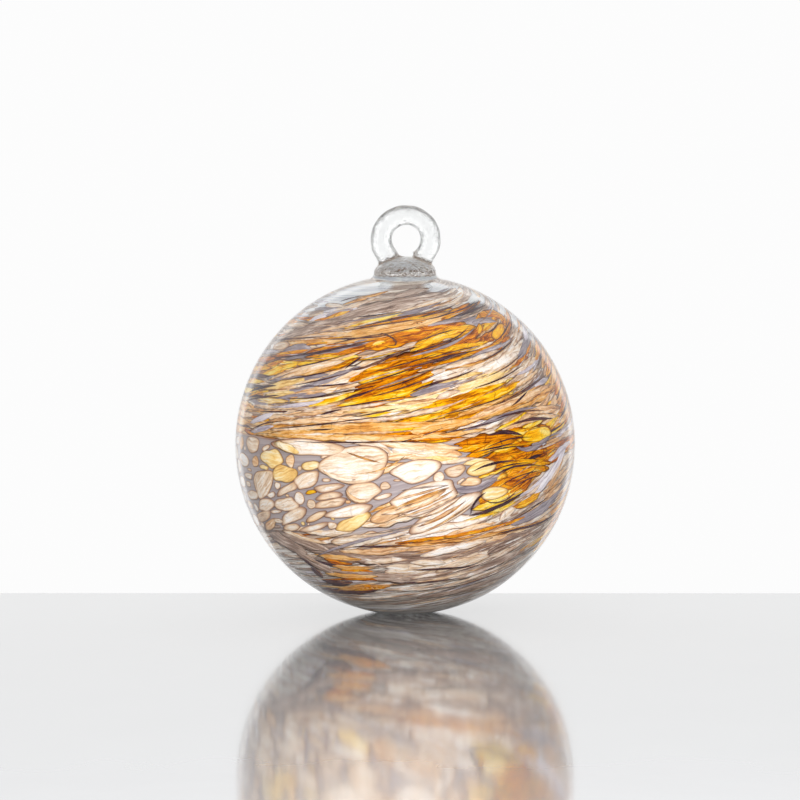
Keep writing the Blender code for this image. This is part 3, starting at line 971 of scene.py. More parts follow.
def streak_as_seen(lift, kind, width, *seen):
    """Draws one smooth line through points that the camera sees and lays it on the ball as a streak."""
    seen = np.array(seen, float)
    knots = run_along(seen)
    bends = np.polynomial.polynomial.polyfit(knots, seen, min(len(seen) - 1, MOST_BENDS))
    count = int(np.clip(knots[-1] / STATION_GAP, *STATIONS))
    path = place_seen(np.polynomial.polynomial.polyval(np.linspace(0, knots[-1], count), bends).T)
    along = along_path(path)
    across = np.cross(path, along)
    ahead = np.stack([along @ SCREEN_RIGHT, along @ SCREEN_UP], -1)
    aside = np.stack([across @ SCREEN_RIGHT, across @ SCREEN_UP], -1)
    crossing = np.abs(ahead[:, 0] * aside[:, 1] - ahead[:, 1] * aside[:, 0])
    seen_share = crossing / np.linalg.norm(ahead, axis=1)
    return new_streak(kind, path, width / np.maximum(seen_share, LEAST_WIDTH_SEEN), lift)


STREAK_LIFTS = np.linspace(0.16, 0.34, len(FRONT_STREAKS))
LINE_LIFTS = np.linspace(0.64, 0.69, len(MAIN_LINES + FINE_LINES))
streaks = [streak_as_seen(lift, *row) for lift, row in zip(STREAK_LIFTS, FRONT_STREAKS)]
streaks += [streak_as_seen(lift, *row) for lift, row in zip(LINE_LIFTS, MAIN_LINES + FINE_LINES)]
print(len(streaks), "streaks and lines laid by hand")

# %% [markdown]
# ## Where the rest goes
# The rest of the frit is strewn at random, as when a gather is rolled in a tray of it. The colours still
# lie in bands, because the maker strews one beside the other, and the twist then winds the bands round the
# ball. So a strewn piece takes its glass from its untwisted azimuth, or from what was listed beside
# it. Each band starts at an azimuth before the twist, in degrees, and lists its glasses.

# %% Say which glass goes where
BANDS = [
    (-180, ["amber", "amber", "gold", "honey", "amber"]),
    (-125, ["ivory", "peach", "gold", "ivory", "taupe"]),
    (-80, ["amber", "gold", "amber", "honey", "peach"]),
    (-20, ["ivory", "smoke", "peach", "lilac"]),
    (30, ["gold", "amber", "honey", "amber", "ivory"]),
    (85, ["ivory", "peach", "ivory", "taupe", "amber"]),
    (135, ["peach", "honey", "smoke", "ivory"]),
]
BAND_WANDER = 16.0
CROWN_KINDS = ["taupe", "taupe", "peach", "ivory", "smoke", "lilac"]
# Near the base mostly pale glasses, partly as painted light for the underside that the lamps leave in shade.
PAINTED_LIGHT_BASE_KINDS = ["ivory", "taupe", "ivory", "peach", "taupe", "lilac"]
CALM_KINDS = ["ivory", "ivory", "straw", "peach", "ivory", "ivory"]

# %% [markdown]
# ## Calm and bare patches
# Two patches weren't pulled out and stay in cells, one in front and one behind. Each is given by its
# middle azimuth and its reach to each side, in degrees. Near the crown hardly any colour stuck to the
# front, so clear glass shows there, and the powder under it is painted pale, as painted light for the light
# seen through that glass. Its spots are given by millimetres right of and above the middle as seen, and
# their radius. They overlap to one crescent, and its edge frays along the twist.

# %% Say where cells stay round and where the glass stays clear
CALM_PATCHES = [(-35, 62), (160, 48)]
CALM_EDGE = 8
CALM_WANDER = 0.03
CALM_NOISE = {"wave": 0.5, "seed": 5.7}
CALM_TOP = (0.12, 0.07)
CALM_BASE = (-0.48, -0.40)
BARE_SPOTS = [
    # This first spot lies under the gob, and its pale powder is painted light that also lightens what is
    # seen through the gob.
    (0, 49.6, 9),
    (10, 46.4, 6),
    (19, 44.6, 8),
    (28, 40.4, 8),
    (35, 34.5, 6),
    (-8, 46.8, 6),
    (-16, 44.9, 8),
    (-24, 41.9, 7),
    (-30, 38, 4),
]
BARE_FRAY = 0.22
FRAY_WAVES = 90
FRAY_BEND = 4
FRAY_BEND_WAVES = 37
BARE_EDGE = (1.15, 0.65)
bare_places = np.array([place_seen(row[:2]) for row in BARE_SPOTS])
bare_reach = np.array([row[2] for row in BARE_SPOTS])


def calm_at(place):
    """1 where the glass stays in round cells, 0 where it is pulled into streaks."""
    azimuth, height = azimuth_and_height(place)
    height = height + CALM_WANDER * slow_noise(place, **CALM_NOISE)
    calm = 0.0
    for middle, reach in CALM_PATCHES:
        apart = abs((math.degrees(azimuth) - middle + 180) % 360 - 180)
        calm = max(calm, smooth_step(reach + CALM_EDGE, reach - CALM_EDGE, apart))
    return calm * smooth_step(*CALM_TOP, height) * smooth_step(*CALM_BASE, height)


def bare_at(place):
    """1 where hardly any colour stuck, 0 elsewhere, for one place or many."""
    apart = np.arccos(np.clip(place @ bare_places.T, -1, 1)) * COLOUR_RADIUS
    height = place[..., 2]
    fray = BARE_FRAY * np.sin(FRAY_WAVES * height + FRAY_BEND * np.sin(FRAY_BEND_WAVES * height))
    return smooth_step(*BARE_EDGE, np.min(apart / bare_reach, axis=-1) + fray)


# %% [markdown]
# ## The glass at a place
# Strewn pieces join the listed ones, so near a listed piece most take its glass. Only umber
# isn't passed on, because it would darken everything round it. The calm patches, the crown and the base
# have their own glasses, and all else follows the bands.

# %% Choose the glass for a place
HAND_STEP = 3
HAND_REACH = 5.0
HAND_CHANCE = 0.75
CROWN_START = 0.90
CROWN_BAND = 0.78
BASE_BAND = -0.60
ZONE_WANDER = 0.07
ZONE_NOISE = {"wave": 0.4, "seed": 3.1}
BAND_NOISE = {"wave": 0.35, "seed": 8.3}


def places_and_kinds(first, step):
    """Places on all cells and, every so many stations, on all streaks, with the glass at each."""
    spots = [[chip["place"] for chip in chips]]
    kinds = [chip["kind"] for chip in chips]
    for streak in streaks:
        spots.append(streak["path"][first::step])
        kinds += [streak["kind"]] * len(spots[-1])
    return np.concatenate(spots), kinds


hand_places, hand_kinds = places_and_kinds(0, HAND_STEP)
hand_streak_places = hand_places[FRONT_CELL_COUNT:]


def kind_at(place):
    if calm_at(place) > 0.5:
        return rng.choice(CALM_KINDS)
    if place[2] > CROWN_START:
        return rng.choice(CROWN_KINDS)
    nearness = hand_places @ place
    nearest = int(np.argmax(nearness))
    by_hand = math.acos(min(nearness[nearest], 1)) * COLOUR_RADIUS < HAND_REACH
    if by_hand and hand_kinds[nearest] != "umber" and rng.uniform() < HAND_CHANCE:
        return hand_kinds[nearest]
    height = place[2] + ZONE_WANDER * slow_noise(place, **ZONE_NOISE)
    if height > CROWN_BAND:
        return rng.choice(CROWN_KINDS)
    if height < BASE_BAND:
        return rng.choice(PAINTED_LIGHT_BASE_KINDS)
    band = math.degrees(azimuth_and_height(untwisted(place))[0])
    band += BAND_WANDER * slow_noise(place, **BAND_NOISE)
    band = (band + 180) % 360 - 180
    return rng.choice([kinds for start, kinds in BANDS if start <= band][-1])


print(len(hand_places), "places laid by hand to join")

# %% [markdown]
# ## Streaks over the edges
# At both edges of the view some streaks run on round the ball. These rows give the glass, the width,
# where the streak starts as seen, and its length, which is negative where it runs back to the left. From
# there it follows the twist, step by step, and so leads out of sight.

# %% Run streaks over the edges
EDGE_LIFT = 0.58
FLOW_WAVER = math.radians(7)
FLOW_NOISE = {"wave": 0.5, "seed": 1.7}
LEAST_STEPS = 6
EDGE_STREAKS = [
    ("amber", 2.4, 38.6, 25.0, 13),
    ("honey", 2.6, 40.4, 22.6, 15),
    ("umber", 0.9, 39.2, 23.4, 10),
    ("amber", 2.6, 41.8, 20.4, 14),
    ("honey", 2.8, 43.2, 17.6, 15),
    ("umber", 1.0, 42.0, 19.0, 11),
    ("amber", 2.6, 44.2, 14.8, 14),
    ("honey", 2.4, 45.0, 12.0, 13),
    ("umber", 0.9, 44.6, 13.2, 12),
    ("amber", 2.2, 45.4, 9.2, 13),
    ("honey", 2.0, 45.8, 6.4, 12),
    ("umber", 0.8, 45.6, 7.8, 12),
    ("lilac", 2.0, 35.4, 31.0, 12),
    # At the left edge the umber rows are partly painted shade: they darken the rim where it lies in shadow.
    ("smoke", 1.6, -37.4, 27.6, -23),
    ("amber", 2.2, -38.0, 25.4, -19),
    ("gold", 2.0, -39.6, 22.6, -22),
    ("umber", 1.3, -39.8, 20.2, -24),
    ("gold", 2.0, -41.6, 18.6, -17),
    ("umber", 0.9, -41.6, 17.2, -26),
    ("gold", 1.8, -42.8, 15.6, -20),
    ("umber", 1.0, -41.8, 14.2, -23),
    ("honey", 3.2, -44.6, 11.0, -18),
    ("peach", 2.0, -45.0, 8.6, -28),
    ("honey", 2.4, -45.8, 6.4, -21),
    ("umber", 0.6, -45.4, 5.0, -16),
]


def follow_flow(place, length, drift):
    """Places along a streak this many millimetres long."""
    count = max(int(abs(length) / STATION_GAP), LEAST_STEPS)
    path = [place]
    for _ in range(count):
        tilt = streak_tilt(path[-1]) + drift + FLOW_WAVER * slow_noise(path[-1], **FLOW_NOISE)
        level, rise = level_and_rise(path[-1])
        ahead = path[-1] + length / count / COLOUR_RADIUS * (math.cos(tilt) * level + math.sin(tilt) * rise)
        path.append(ahead / np.linalg.norm(ahead))
    return np.array(path)


for kind, width, across, up, length in EDGE_STREAKS:
    path = follow_flow(place_seen((across, up)), length, 0.0)
    streaks.append(new_streak(kind, path, np.full(len(path), width), EDGE_LIFT))
print(len(EDGE_STREAKS), "streaks run over the edges")

# %% [markdown]
# ## Strewing streaks and lines
# A strewn streak starts anywhere but in the patches and follows the twist with a slight drift of its own.
# Near the poles they are shorter, and near the base finer. Thin lines go over them. A line takes a glass
# that stands out from the one it lies on, as dark rims and pale veins do.

# %% Strew the streaks and lines
STREAK_COUNT = 1050
LINE_COUNT = 340
BROAD = {"lengths": (10, 34), "widths": (0.9, 3.0), "lifts": (0.0, 0.14)}
THIN = {"lengths": (8, 28), "widths": (0.3, 0.65), "lifts": (0.2, 0.5)}
START_HEIGHTS = (-0.975, 0.90)
DRIFT = math.radians(2.5)
CALM_LIMIT = 0.3
BARE_LIMITS = (0.1, 1.03)
POLE_SPAN = (0.75, 0.97)
POLE_SHORTENING = 0.4
BASE_SPAN = (-0.45, -0.70)
BASE_FINENESS = 0.5
LINE_KINDS = {
    "amber": ["umber", "umber", "gold"],
    "gold": ["umber", "honey", "straw"],
    "honey": ["umber", "umber", "peach"],
    "straw": ["honey", "ivory", "gold"],
    "ivory": ["peach", "taupe", "ivory"],
    "peach": ["ivory", "ivory", "honey"],
    "smoke": ["umber", "lilac", "ivory"],
    "lilac": ["smoke", "ivory", "taupe"],
    "taupe": ["ivory", "peach", "umber"],
    "umber": ["umber"],
}


def strewn_streak(lengths, widths, lifts):
    """A streak of a random length, width and lift between these, at a random place that isn't in a patch."""
    while True:
        start = place_at(rng.uniform(-math.pi, math.pi), rng.uniform(*START_HEIGHTS))
        near_pole = smooth_step(*POLE_SPAN, abs(start[2]))
        length = rng.uniform(*lengths) * (1 - POLE_SHORTENING * near_pole)
        path = follow_flow(start, length, rng.normal() * DRIFT)
        middle = path[len(path) // 2]
        if calm_at(middle) < CALM_LIMIT and bare_at(middle) < rng.uniform(*BARE_LIMITS):
            break
    fine = smooth_step(*BASE_SPAN, middle[2])
    width = rng.uniform(*widths) * (1 - BASE_FINENESS * fine)
    return new_streak(kind_at(middle), path, np.full(len(path), width), rng.uniform(*lifts))


for _ in range(STREAK_COUNT):
    streaks.append(strewn_streak(**BROAD))
for _ in range(LINE_COUNT):
    line = strewn_streak(**THIN)
    line["kind"] = rng.choice(LINE_KINDS[line["kind"]])
    streaks.append(line)
print(len(streaks), "streaks and lines in all")

# %% [markdown]
# ## Strewing cells
# In the calm patches cells fill the room that is left. Every try is measured against the cells and
# streaks that lie there. Large cells are tried first, so the small ones find the gaps between them.

# %% Strew the cells
CELL_TRIES = 16000
CELL_SHRINKING = 0.6
CELL_HEIGHTS = (-0.5, 0.06)
CELL_LENGTHS = (5, 15)
CELL_WIDTHS = (3.4, 7.5)
CELL_LEAN = math.radians(8)
CELL_CROWDING = 0.70
STREAK_CLEARANCE = 2.4
FAR_AWAY = 99.0
ROUND_THE_BALL = 0.2


def places_and_halves(chips):
    return np.array([chip["place"] for chip in chips]), np.array([chip["half"] for chip in chips])


def spots_round(chip, places, halves):
    """Where other cells lie in this one's own directions, and how crowded each is: under 1, they overlap."""
    apart = (places - chip["place"]) * COLOUR_RADIUS
    spots = np.stack([apart @ chip["along"], apart @ chip["across"]], -1)
    behind = places @ chip["place"] < ROUND_THE_BALL
    own = np.linalg.norm(spots / chip["half"], axis=1) + 1e-6
    theirs = np.linalg.norm(spots / halves, axis=1) + 1e-6
    return spots, np.where(behind, FAR_AWAY, 1 / (1 / own + 1 / theirs))


def strew_cells(chips):
    for attempt in range(CELL_TRIES):
        scale = 1 - CELL_SHRINKING * attempt / CELL_TRIES
        place = place_at(rng.uniform(-math.pi, math.pi), rng.uniform(*CELL_HEIGHTS))
        if calm_at(place) < 0.5:
            continue
        length, width = rng.uniform(*CELL_LENGTHS) * scale, rng.uniform(*CELL_WIDTHS) * scale
        tilt = streak_tilt(place) + rng.normal() * CELL_LEAN
        chip = new_chip(kind_at(place), place, (max(length, width) / 2, width / 2), tilt)
        _, crowding = spots_round(chip, *places_and_halves(chips))
        clearance = math.acos(min(np.max(hand_streak_places @ place), 1)) * COLOUR_RADIUS
        if crowding.min() > CELL_CROWDING and clearance > STREAK_CLEARANCE:
            chips.append(chip)


strew_cells(chips)
places, halves = places_and_halves(chips)
print(len(chips), "cells in all")

# %% [markdown]
# ## The outline of a cell
# We draw a strewn cell's outline with a soft version of a Voronoi cell. In each direction from its middle,
# every neighbour limits how far it may reach, and a smooth minimum over those limits gives one rounded
# outline with a narrow gap round it. A listed cell keeps its own ellipse, and a neighbour flattens
# it only where the two would overlap, with firmer corners and a narrower gap.

# %% Draw a cell's outline
HAND_FORM = {"own_limit": 1.0, "leeway": 1.1, "rounding": 14.0, "gap": 0.15}
STREWN_FORM = {"own_limit": 1.22, "leeway": 1.0, "rounding": 7.0, "gap": 0.3}
WAVER = 0.12
LEAST_LEFT = 0.25


def cell_outline(chip, neighbours, sides, form):
    """Steps along and across from a cell's middle to its rim, in millimetres, in each direction.

    neighbours holds their places along and across, then their half lengths and half widths.
    """
    own = chip["half"]
    turns = all_round(sides)
    ways = np.stack([np.cos(turns), np.sin(turns)], -1)
    reach = np.ones(sides)
    if len(neighbours):
        spots = neighbours[:, :2] / own
        distance = np.linalg.norm(spots, axis=1)
        theirs = 1 / np.linalg.norm(spots / distance[:, None] * own / neighbours[:, 2:], axis=1)
        share = 1 / (1 + theirs)
        own_limit = np.full((1, sides), form["own_limit"])
        their_limits = np.maximum(ways @ spots.T, 1e-3) / (distance**2 * share)
        limits = np.concatenate([own_limit, their_limits.T / form["leeway"]])
        reach = 1 / np.sum(limits ** form["rounding"], axis=0) ** (1 / form["rounding"])
    for wave in (2, 3, 5):
        depth, start = rng.uniform(-WAVER, WAVER) / wave * 2, rng.uniform(0, 2 * math.pi)
        reach = reach * (1 + depth * np.cos(wave * turns + start))
    outline = ways * own * reach[:, None]
    size = np.linalg.norm(outline, axis=1)
    return outline * np.clip(1 - form["gap"] / size, LEAST_LEFT, 1)[:, None]


# %% [markdown]
# ## Bodies of glass
# Cells and streaks are both low closed bodies. A cell is a lens: rings rise to a dome, wrapped round the
# ball by walking from its middle, and a fan closes it below. A streak is a flat tube swept along its line.
# Three values go with every point for the finishes: where it lies in its own glass, along and across, how
# far it is from its edge, and one random tone for the whole piece. DOME gives the rings as shares of the
# outline and of the height, and SECTION the tube's outline as shares of half its width and its thickness.

# %% Turn a cell into a body
DOME = np.array([(0.5, 0.93), (0.76, 0.74), (0.9, 0.48), (0.97, 0.22), (1.0, 0.0)])
CELL_RISE = 0.09
CELL_THICKNESS = (0.08, 0.24)
UNDERSIDE = 0.08
BASE_THINNING = (-0.965, -0.985)


def ball_points(ways, lifts):
    """Points at these directions and lifts over the colour layer, in millimetres.

    Near the base, where the flat spot cuts the ball, the lift is taken off again.
    """
    ways = ways / np.linalg.norm(ways, axis=-1, keepdims=True)
    kept = 1 - smooth_step(*BASE_THINNING, ways[..., 2])
    return ways * (COLOUR_RADIUS + lifts * kept)[..., None]


def cell_body(chip, outline, lift):
    """Points, faces and the finish's values of one cell."""
    sides = len(outline)
    middle = np.zeros((1, 2))
    thickness = float(np.clip(CELL_RISE * chip["half"][1], *CELL_THICKNESS))
    steps = np.concatenate([middle] + [outline * share for share, _ in DOME] + [middle])
    rise = np.concatenate([[1.0], np.repeat(DOME[:, 1], sides), [0.0]]) * thickness + lift
    rise[-1] = lift - UNDERSIDE
    walk = steps[:, :1] * chip["along"] + steps[:, 1:] * chip["across"]
    distance = np.linalg.norm(walk, axis=1, keepdims=True)
    turn = distance / COLOUR_RADIUS
    ways = np.cos(turn) * chip["place"] + np.sin(turn) * walk / np.maximum(distance, 1e-9)
    inward = np.concatenate([[1.0], np.repeat(1 - DOME[:, 0], sides), [0.0]]) * chip["half"][1]
    grain = np.concatenate([steps, np.zeros((len(steps), 1))], axis=1) + chip["offset"]
    tones = np.full(len(steps), chip["tone"])
    return ball_points(ways, rise), capped_faces(len(DOME), sides), grain, inward, tones


# %% Turn a streak into a body
SECTION = np.array([
    (-1.0, 0.0), (-0.72, 0.6), (-0.3, 1.0), (0.3, 1.0), (0.72, 0.6), (1.0, 0.0), (0.0, -1.0),
])
STREAK_RISE = 0.05
STREAK_THICKNESS = (0.03, 0.11)
EDGE_WAVER = 0.13
LONG_WAVER = 2.1
SHORT_WAVER = 0.9


def edge_waver(run, long_start, short_start):
    """How much wider or narrower one edge of a streak is along its run."""
    return 1 + EDGE_WAVER * (np.sin(run / LONG_WAVER + long_start) + np.sin(run / SHORT_WAVER + short_start))


def streak_body(streak):
    """Points, faces and the finish's values of one streak."""
    path, half = streak["path"], streak["widths"] / 2
    run = run_along(path) * COLOUR_RADIUS
    across = np.cross(path, along_path(path))
    left = half * edge_waver(run, *streak["waver"][:2])
    right = half * edge_waver(run, *streak["waver"][2:])
    side = np.where(SECTION[:, 0] < 0, SECTION[:, 0] * left[:, None], SECTION[:, 0] * right[:, None])
    thickness = np.clip(STREAK_RISE * streak["widths"], *STREAK_THICKNESS)[:, None]
    ways = path[:, None] + across[:, None] * (side / COLOUR_RADIUS)[..., None]
    points = ball_points(ways, streak["lift"] + thickness * SECTION[:, 1])
    grain = np.stack([np.repeat(run[:, None], len(SECTION), axis=1), side, 0 * side], -1) + streak["offset"]
    inward = (1 - np.abs(SECTION[:, 0])) * half[:, None]
    rim = len(SECTION)
    last_ring = (len(path) - 1) * rim
    faces = [tuple(reversed(range(rim))), tuple(range(last_ring, last_ring + rim))]
    for ring in range(0, last_ring, rim):
        for corner in range(rim):
            beside = (corner + 1) % rim
            faces.append((ring + corner, ring + beside, ring + rim + beside, ring + rim + corner))
    tones = np.full(len(path) * rim, streak["tone"])
    return points.reshape(-1, 3), faces, grain.reshape(-1, 3), inward.ravel(), tones


# %% [markdown]
# ## One piece for each glass
# All cells and streaks of one glass go into one object, because they share a finish. The three values
# are stored on its points, and a fourth says whether a point belongs to a cell or to a drawn-out streak.

# %% Make the glasses
KINDS = ["amber", "gold", "honey", "ivory", "peach", "smoke", "lilac", "taupe", "straw", "umber"]
NEIGHBOUR_REACH = 1.7
ITSELF = 0.01
SIDE_LENGTH = 0.6
CELL_SIDES = (16, 72)
CELL_LIFTS = (0.36, 0.40)


def add_values(piece, name, values):
    """Stores one value or one vector for each point, for the finishes to read."""
    vector = values.ndim == 2
    attribute = piece.data.attributes.new(name, "FLOAT_VECTOR" if vector else "FLOAT", "POINT")
    attribute.data.foreach_set("vector" if vector else "value", values.astype(np.float32).ravel())


def cell_bodies(kind):
    for index, chip in enumerate(chips):
        if chip["kind"] == kind:
            spots, crowding = spots_round(chip, places, halves)
            near = (crowding < NEIGHBOUR_REACH) & (crowding > ITSELF)
            neighbours = np.concatenate([spots[near], halves[near]], axis=1)
            sides = int(np.clip(4 * chip["half"][0] / SIDE_LENGTH, *CELL_SIDES))
            form = HAND_FORM if index < FRONT_CELL_COUNT else STREWN_FORM
            yield cell_body(chip, cell_outline(chip, neighbours, sides, form), rng.uniform(*CELL_LIFTS))


def make_glass(kind):
    bodies = list(cell_bodies(kind))
    cell_points = sum(len(body[0]) for body in bodies)
    bodies += [streak_body(streak) for streak in streaks if streak["kind"] == kind]
    faces = []
    total = 0
    for body in bodies:
        faces += [tuple(corner + total for corner in face) for face in body[1]]
        total += len(body[0])
    points = np.concatenate([body[0] for body in bodies]) + (0, 0, MIDDLE_HEIGHT)
    piece = new_piece(kind + "_frit", points, faces)
    for index, name in enumerate(("grain", "from_edge", "tone"), 2):
        add_values(piece, name, np.concatenate([body[index] for body in bodies]))
    add_values(piece, "drawn", (np.arange(total) >= cell_points).astype(float))
    print(f"{kind}: {len(bodies)} bodies, {len(faces)} faces")
    return piece


glasses = {kind: make_glass(kind) for kind in KINDS}

# %% [markdown]
# ## The ground behind them
# Behind the frit lies a skin of smoky glass, seen wherever two pieces don't meet. It is a plain bubble, so
# its form is a turned skin again. Its colour was strewn as powder before the twist, so every point also
# gets its untwisted place: a round cloud of noise drawn there comes out as a fine streak round the ball.
# Other values say how high it lies, whether its patch is bare or calm, and how much amber lies near it.

# %% Make the ground
GROUND_RADIUS = COLOUR_RADIUS - 0.05
GROUND_ROWS = 181
GROUND_SIDES = 256
WARM_KINDS = ("amber", "gold", "honey")
WARM_SPREAD = 2.5
WARM_FIRST, WARM_STEP = 2, 5
BATCH = 2048


def warmth_at(place):
    """From 0 among ivory and smoky glass to 1 among amber, as powder follows the frit it was laid with."""
    spots, kinds = places_and_kinds(WARM_FIRST, WARM_STEP)
    warm = np.isin(kinds, WARM_KINDS).astype(float)
    warmth = np.zeros(len(place))
    for start in range(0, len(place), BATCH):
        batch = slice(start, start + BATCH)
        share = np.exp((place[batch] @ spots.T - 1) * (COLOUR_RADIUS / WARM_SPREAD) ** 2)
        warmth[batch] = share @ warm / share.sum(axis=1)
    return warmth


def make_ground():
    turns = np.linspace(0, math.pi, GROUND_ROWS)
    outline = [(GROUND_RADIUS * math.sin(t), MIDDLE_HEIGHT + GROUND_RADIUS * math.cos(t)) for t in turns]
    points, faces = turned_skin(outline, GROUND_SIDES)
    piece = new_piece("smoke_ground", points, faces)
    place = (points - (0, 0, MIDDLE_HEIGHT)) / GROUND_RADIUS
    add_values(piece, "untwisted", untwisted(place) * GROUND_RADIUS)
    add_values(piece, "height", place[:, 2])
    add_values(piece, "bare", bare_at(place))
    add_values(piece, "warm", warmth_at(place))
    add_values(piece, "calm", np.array([calm_at(spot) for spot in place]))
    print("ground:", len(faces), "faces")
    return piece


ground = make_ground()

# %% [markdown]
# ## Tools for the finishes
# Glass finishes are built as shader nodes. One function turns the hex colours that painters and web
# designers use into the linear values that Blender mixes with, and one adds a node with its settings and
# links. A new finish comes with that second function bound to its own nodes, named add, so each finish
# below reads as a short recipe.


# %% Colours and nodes
def colour(hex_code):
    """A hex colour as linear values with full opacity."""
    parts = [int(hex_code[start : start + 2], 16) / 255 for start in (1, 3, 5)]
    linear = [part / 12.92 if part <= 0.04045 else ((part + 0.055) / 1.055) ** 2.4 for part in parts]
    return tuple(linear) + (1.0,)


def add_node(tree, kind, inputs=None, out=None, stops=None, **settings):
    """Adds a shader node and gives it, or its output out.

    inputs go to its sockets as values or links, stops to its colour ramp, and settings to the node itself.
    """
    made = tree.nodes.new("ShaderNode" + kind)
    for name, value in settings.items():
        setattr(made, name, value)
    for name, value in (inputs or {}).items():
        if isinstance(value, bpy.types.NodeSocket):
            tree.links.new(value, made.inputs[name])
        else:
            made.inputs[name].default_value = value
    for index, (place, tint) in enumerate(stops or []):
        if index == len(made.color_ramp.elements):
            made.color_ramp.elements.new(place)
        made.color_ramp.elements[index].position = place
        made.color_ramp.elements[index].color = colour(tint)
    return made if out is None else made.outputs[out]


def new_finish(name):
    """A material with an empty node tree, and add_node bound to that tree."""
    finish = bpy.data.materials.new(name)
    finish.use_nodes = True
    finish.node_tree.nodes.clear()
    return finish, partial(add_node, finish.node_tree)


# %% [markdown]
# ## Clear soda-lime glass
# The casing, gob and loop are clear soda-lime glass, fire-polished, so their surface is almost free of
# scratches. What gives it away as hand-made is a faint slow ripple that bends the highlights, and a few
# fingerprints and dust marks that dull them. The gob was squeezed with jacks while it was stiffening, so it
# and the loop carry finer chill marks, 1 to 2 mm across. The glass itself is see-through by plain values,
# and only the ripple and the marks come from nodes.

# %% Finish the casing
SODA_LIME_IOR = 1.52
RIPPLE_WAVE = 6.0
SMUDGE_WAVE = 9.0
CHILL_WAVE = 1.3
SQUEEZED_FROM = (CROWN_HEIGHT - 0.8) * MM
SQUEEZED_TO = (CROWN_HEIGHT + 0.6) * MM


def chill_marks(add, spot):
    """The height of the chill marks, which fade out below the gob."""
    height = add("SeparateXYZ", {"Vector": spot}, "Z")
    span = {"Value": height, "From Min": SQUEEZED_FROM, "From Max": SQUEEZED_TO}
    squeezed = add("MapRange", span, "Result")
    marks = {"Scale": 1 / (CHILL_WAVE * MM), "Detail": 3.0, "Roughness": 0.55, "Distortion": 0.8}
    chill = add("TexNoise", {"Vector": spot, **marks}, "Fac")
    return add("Math", {0: chill, 1: squeezed}, "Value", operation="MULTIPLY")


def clear_glass():
    finish, add = new_finish("clear_soda_lime_glass")
    spot = add("TexCoord", out="Object")
    ripples = {"Vector": spot, "Scale": 1 / (RIPPLE_WAVE * MM), "Detail": 2.0, "Roughness": 0.45}
    ripple = add("TexNoise", ripples, "Fac")
    smudges = {"Vector": spot, "Scale": 1 / (SMUDGE_WAVE * MM), "Detail": 6.0, "Roughness": 0.65}
    smudge = add("TexNoise", smudges, "Fac")
    dulling = {"Value": smudge, "From Min": 0.55, "From Max": 0.8, "To Max": 0.06}
    bump = add("Bump", {"Height": ripple, "Strength": 0.12, "Distance": 0.25 * MM}, "Normal")
    marks = {"Height": chill_marks(add, spot), "Strength": 1.0, "Distance": 0.6 * MM, "Normal": bump}
    glass = {
        "Base Color": colour("#FCFDFD"),
        "IOR": SODA_LIME_IOR,
        "Transmission Weight": 1.0,
        "Roughness": add("MapRange", dulling, "Result"),
        "Normal": add("Bump", marks, "Normal"),
    }
    add("OutputMaterial", {"Surface": add("BsdfPrincipled", glass, "BSDF")})
    print(finish.name, "has", len(finish.node_tree.nodes), "nodes")
    return finish


casing.data.materials.append(clear_glass())

# %% [markdown]
# ## Coloured frit
# Frit is crushed coloured glass. Drawn out in the twist, each grain shows fine cords along its length,
# where batches of slightly different colour were stretched together, and a net of hairline veins where its
# crazed surface was pulled open. It is deepest and brownest at its rim, where the colour piled up. So one
# recipe serves every colour: cords, veins over them, and a rim over both, all measured in millimetres of
# the piece's own length and width. A gentle bend keeps cords and veins from running dead straight.
#
# The cords come first. Noise stretched to about 0.6 by 9 mm gives them. Slower clouds and each piece's own
# tone shift them lighter or darker. Cells are calmer than streaks, so their cords have less contrast.

# %% Draw the cords
BENDS_PER_MM = 0.25
BEND = (3.0, 2.0, 0.0)
CORD_LENGTH = 9.0
CORD_WIDTH = 0.6
CLOUDS_PER_MM = 0.22
CLOUD_SHARE = 0.45
TONE_RANGE = {"To Min": 0.17, "To Max": 0.38}
CORD_CONTRAST = {"To Min": 1.05, "To Max": 1.5}


def bent_grain(add, grain):
    """The grain's own coordinates, gently bent."""
    bend = add("TexNoise", {"Vector": grain, "Scale": BENDS_PER_MM, "Detail": 2.0}, "Color")
    return add("VectorMath", {0: bend, 1: BEND, 2: grain}, "Vector", operation="MULTIPLY_ADD")


def draw_cords(add, read, bent, cords):
    """The cords as a plain value, and the colour that they give the glass."""
    lengthwise = {0: bent, 1: (1 / CORD_LENGTH, 1 / CORD_WIDTH, 1.0)}
    stretched = add("VectorMath", lengthwise, "Vector", operation="MULTIPLY")
    fine = {"Vector": stretched, "Scale": 1.0, "Detail": 5.0, "Roughness": 0.62}
    cord = add("TexNoise", fine, "Fac")
    slow = {"Vector": read["grain"], "Scale": CLOUDS_PER_MM, "Detail": 3.0}
    cloud = add("TexNoise", slow, "Fac")
    tone = add("MapRange", {"Value": read["tone"], **TONE_RANGE}, "Result")
    contrast = add("MapRange", {"Value": read["drawn"], **CORD_CONTRAST}, "Result")
    away = add("Math", {0: cord, 1: 0.5}, "Value", operation="SUBTRACT")
    level = add("Math", {0: cloud, 1: CLOUD_SHARE, 2: tone}, "Value", operation="MULTIPLY_ADD")
    level = add("Math", {0: away, 1: contrast, 2: level}, "Value", operation="MULTIPLY_ADD")
    return cord, add("ValToRGB", {"Fac": level}, "Color", stops=cords)


# %% [markdown]
# ## Veins over the cords
# A vein is what opened between two pieces of the crazed surface, so a net of cells gives it: the distance
# to the nearest border of a Voronoi net, pulled long by the twist. Finer crinkles come from noise where it
# passes its middle value. Veins come and go in patches of about 3 mm. They are hairlines in life, drawn
# here at about 0.15 mm so that they show, and they are fainter on cells than on streaks.

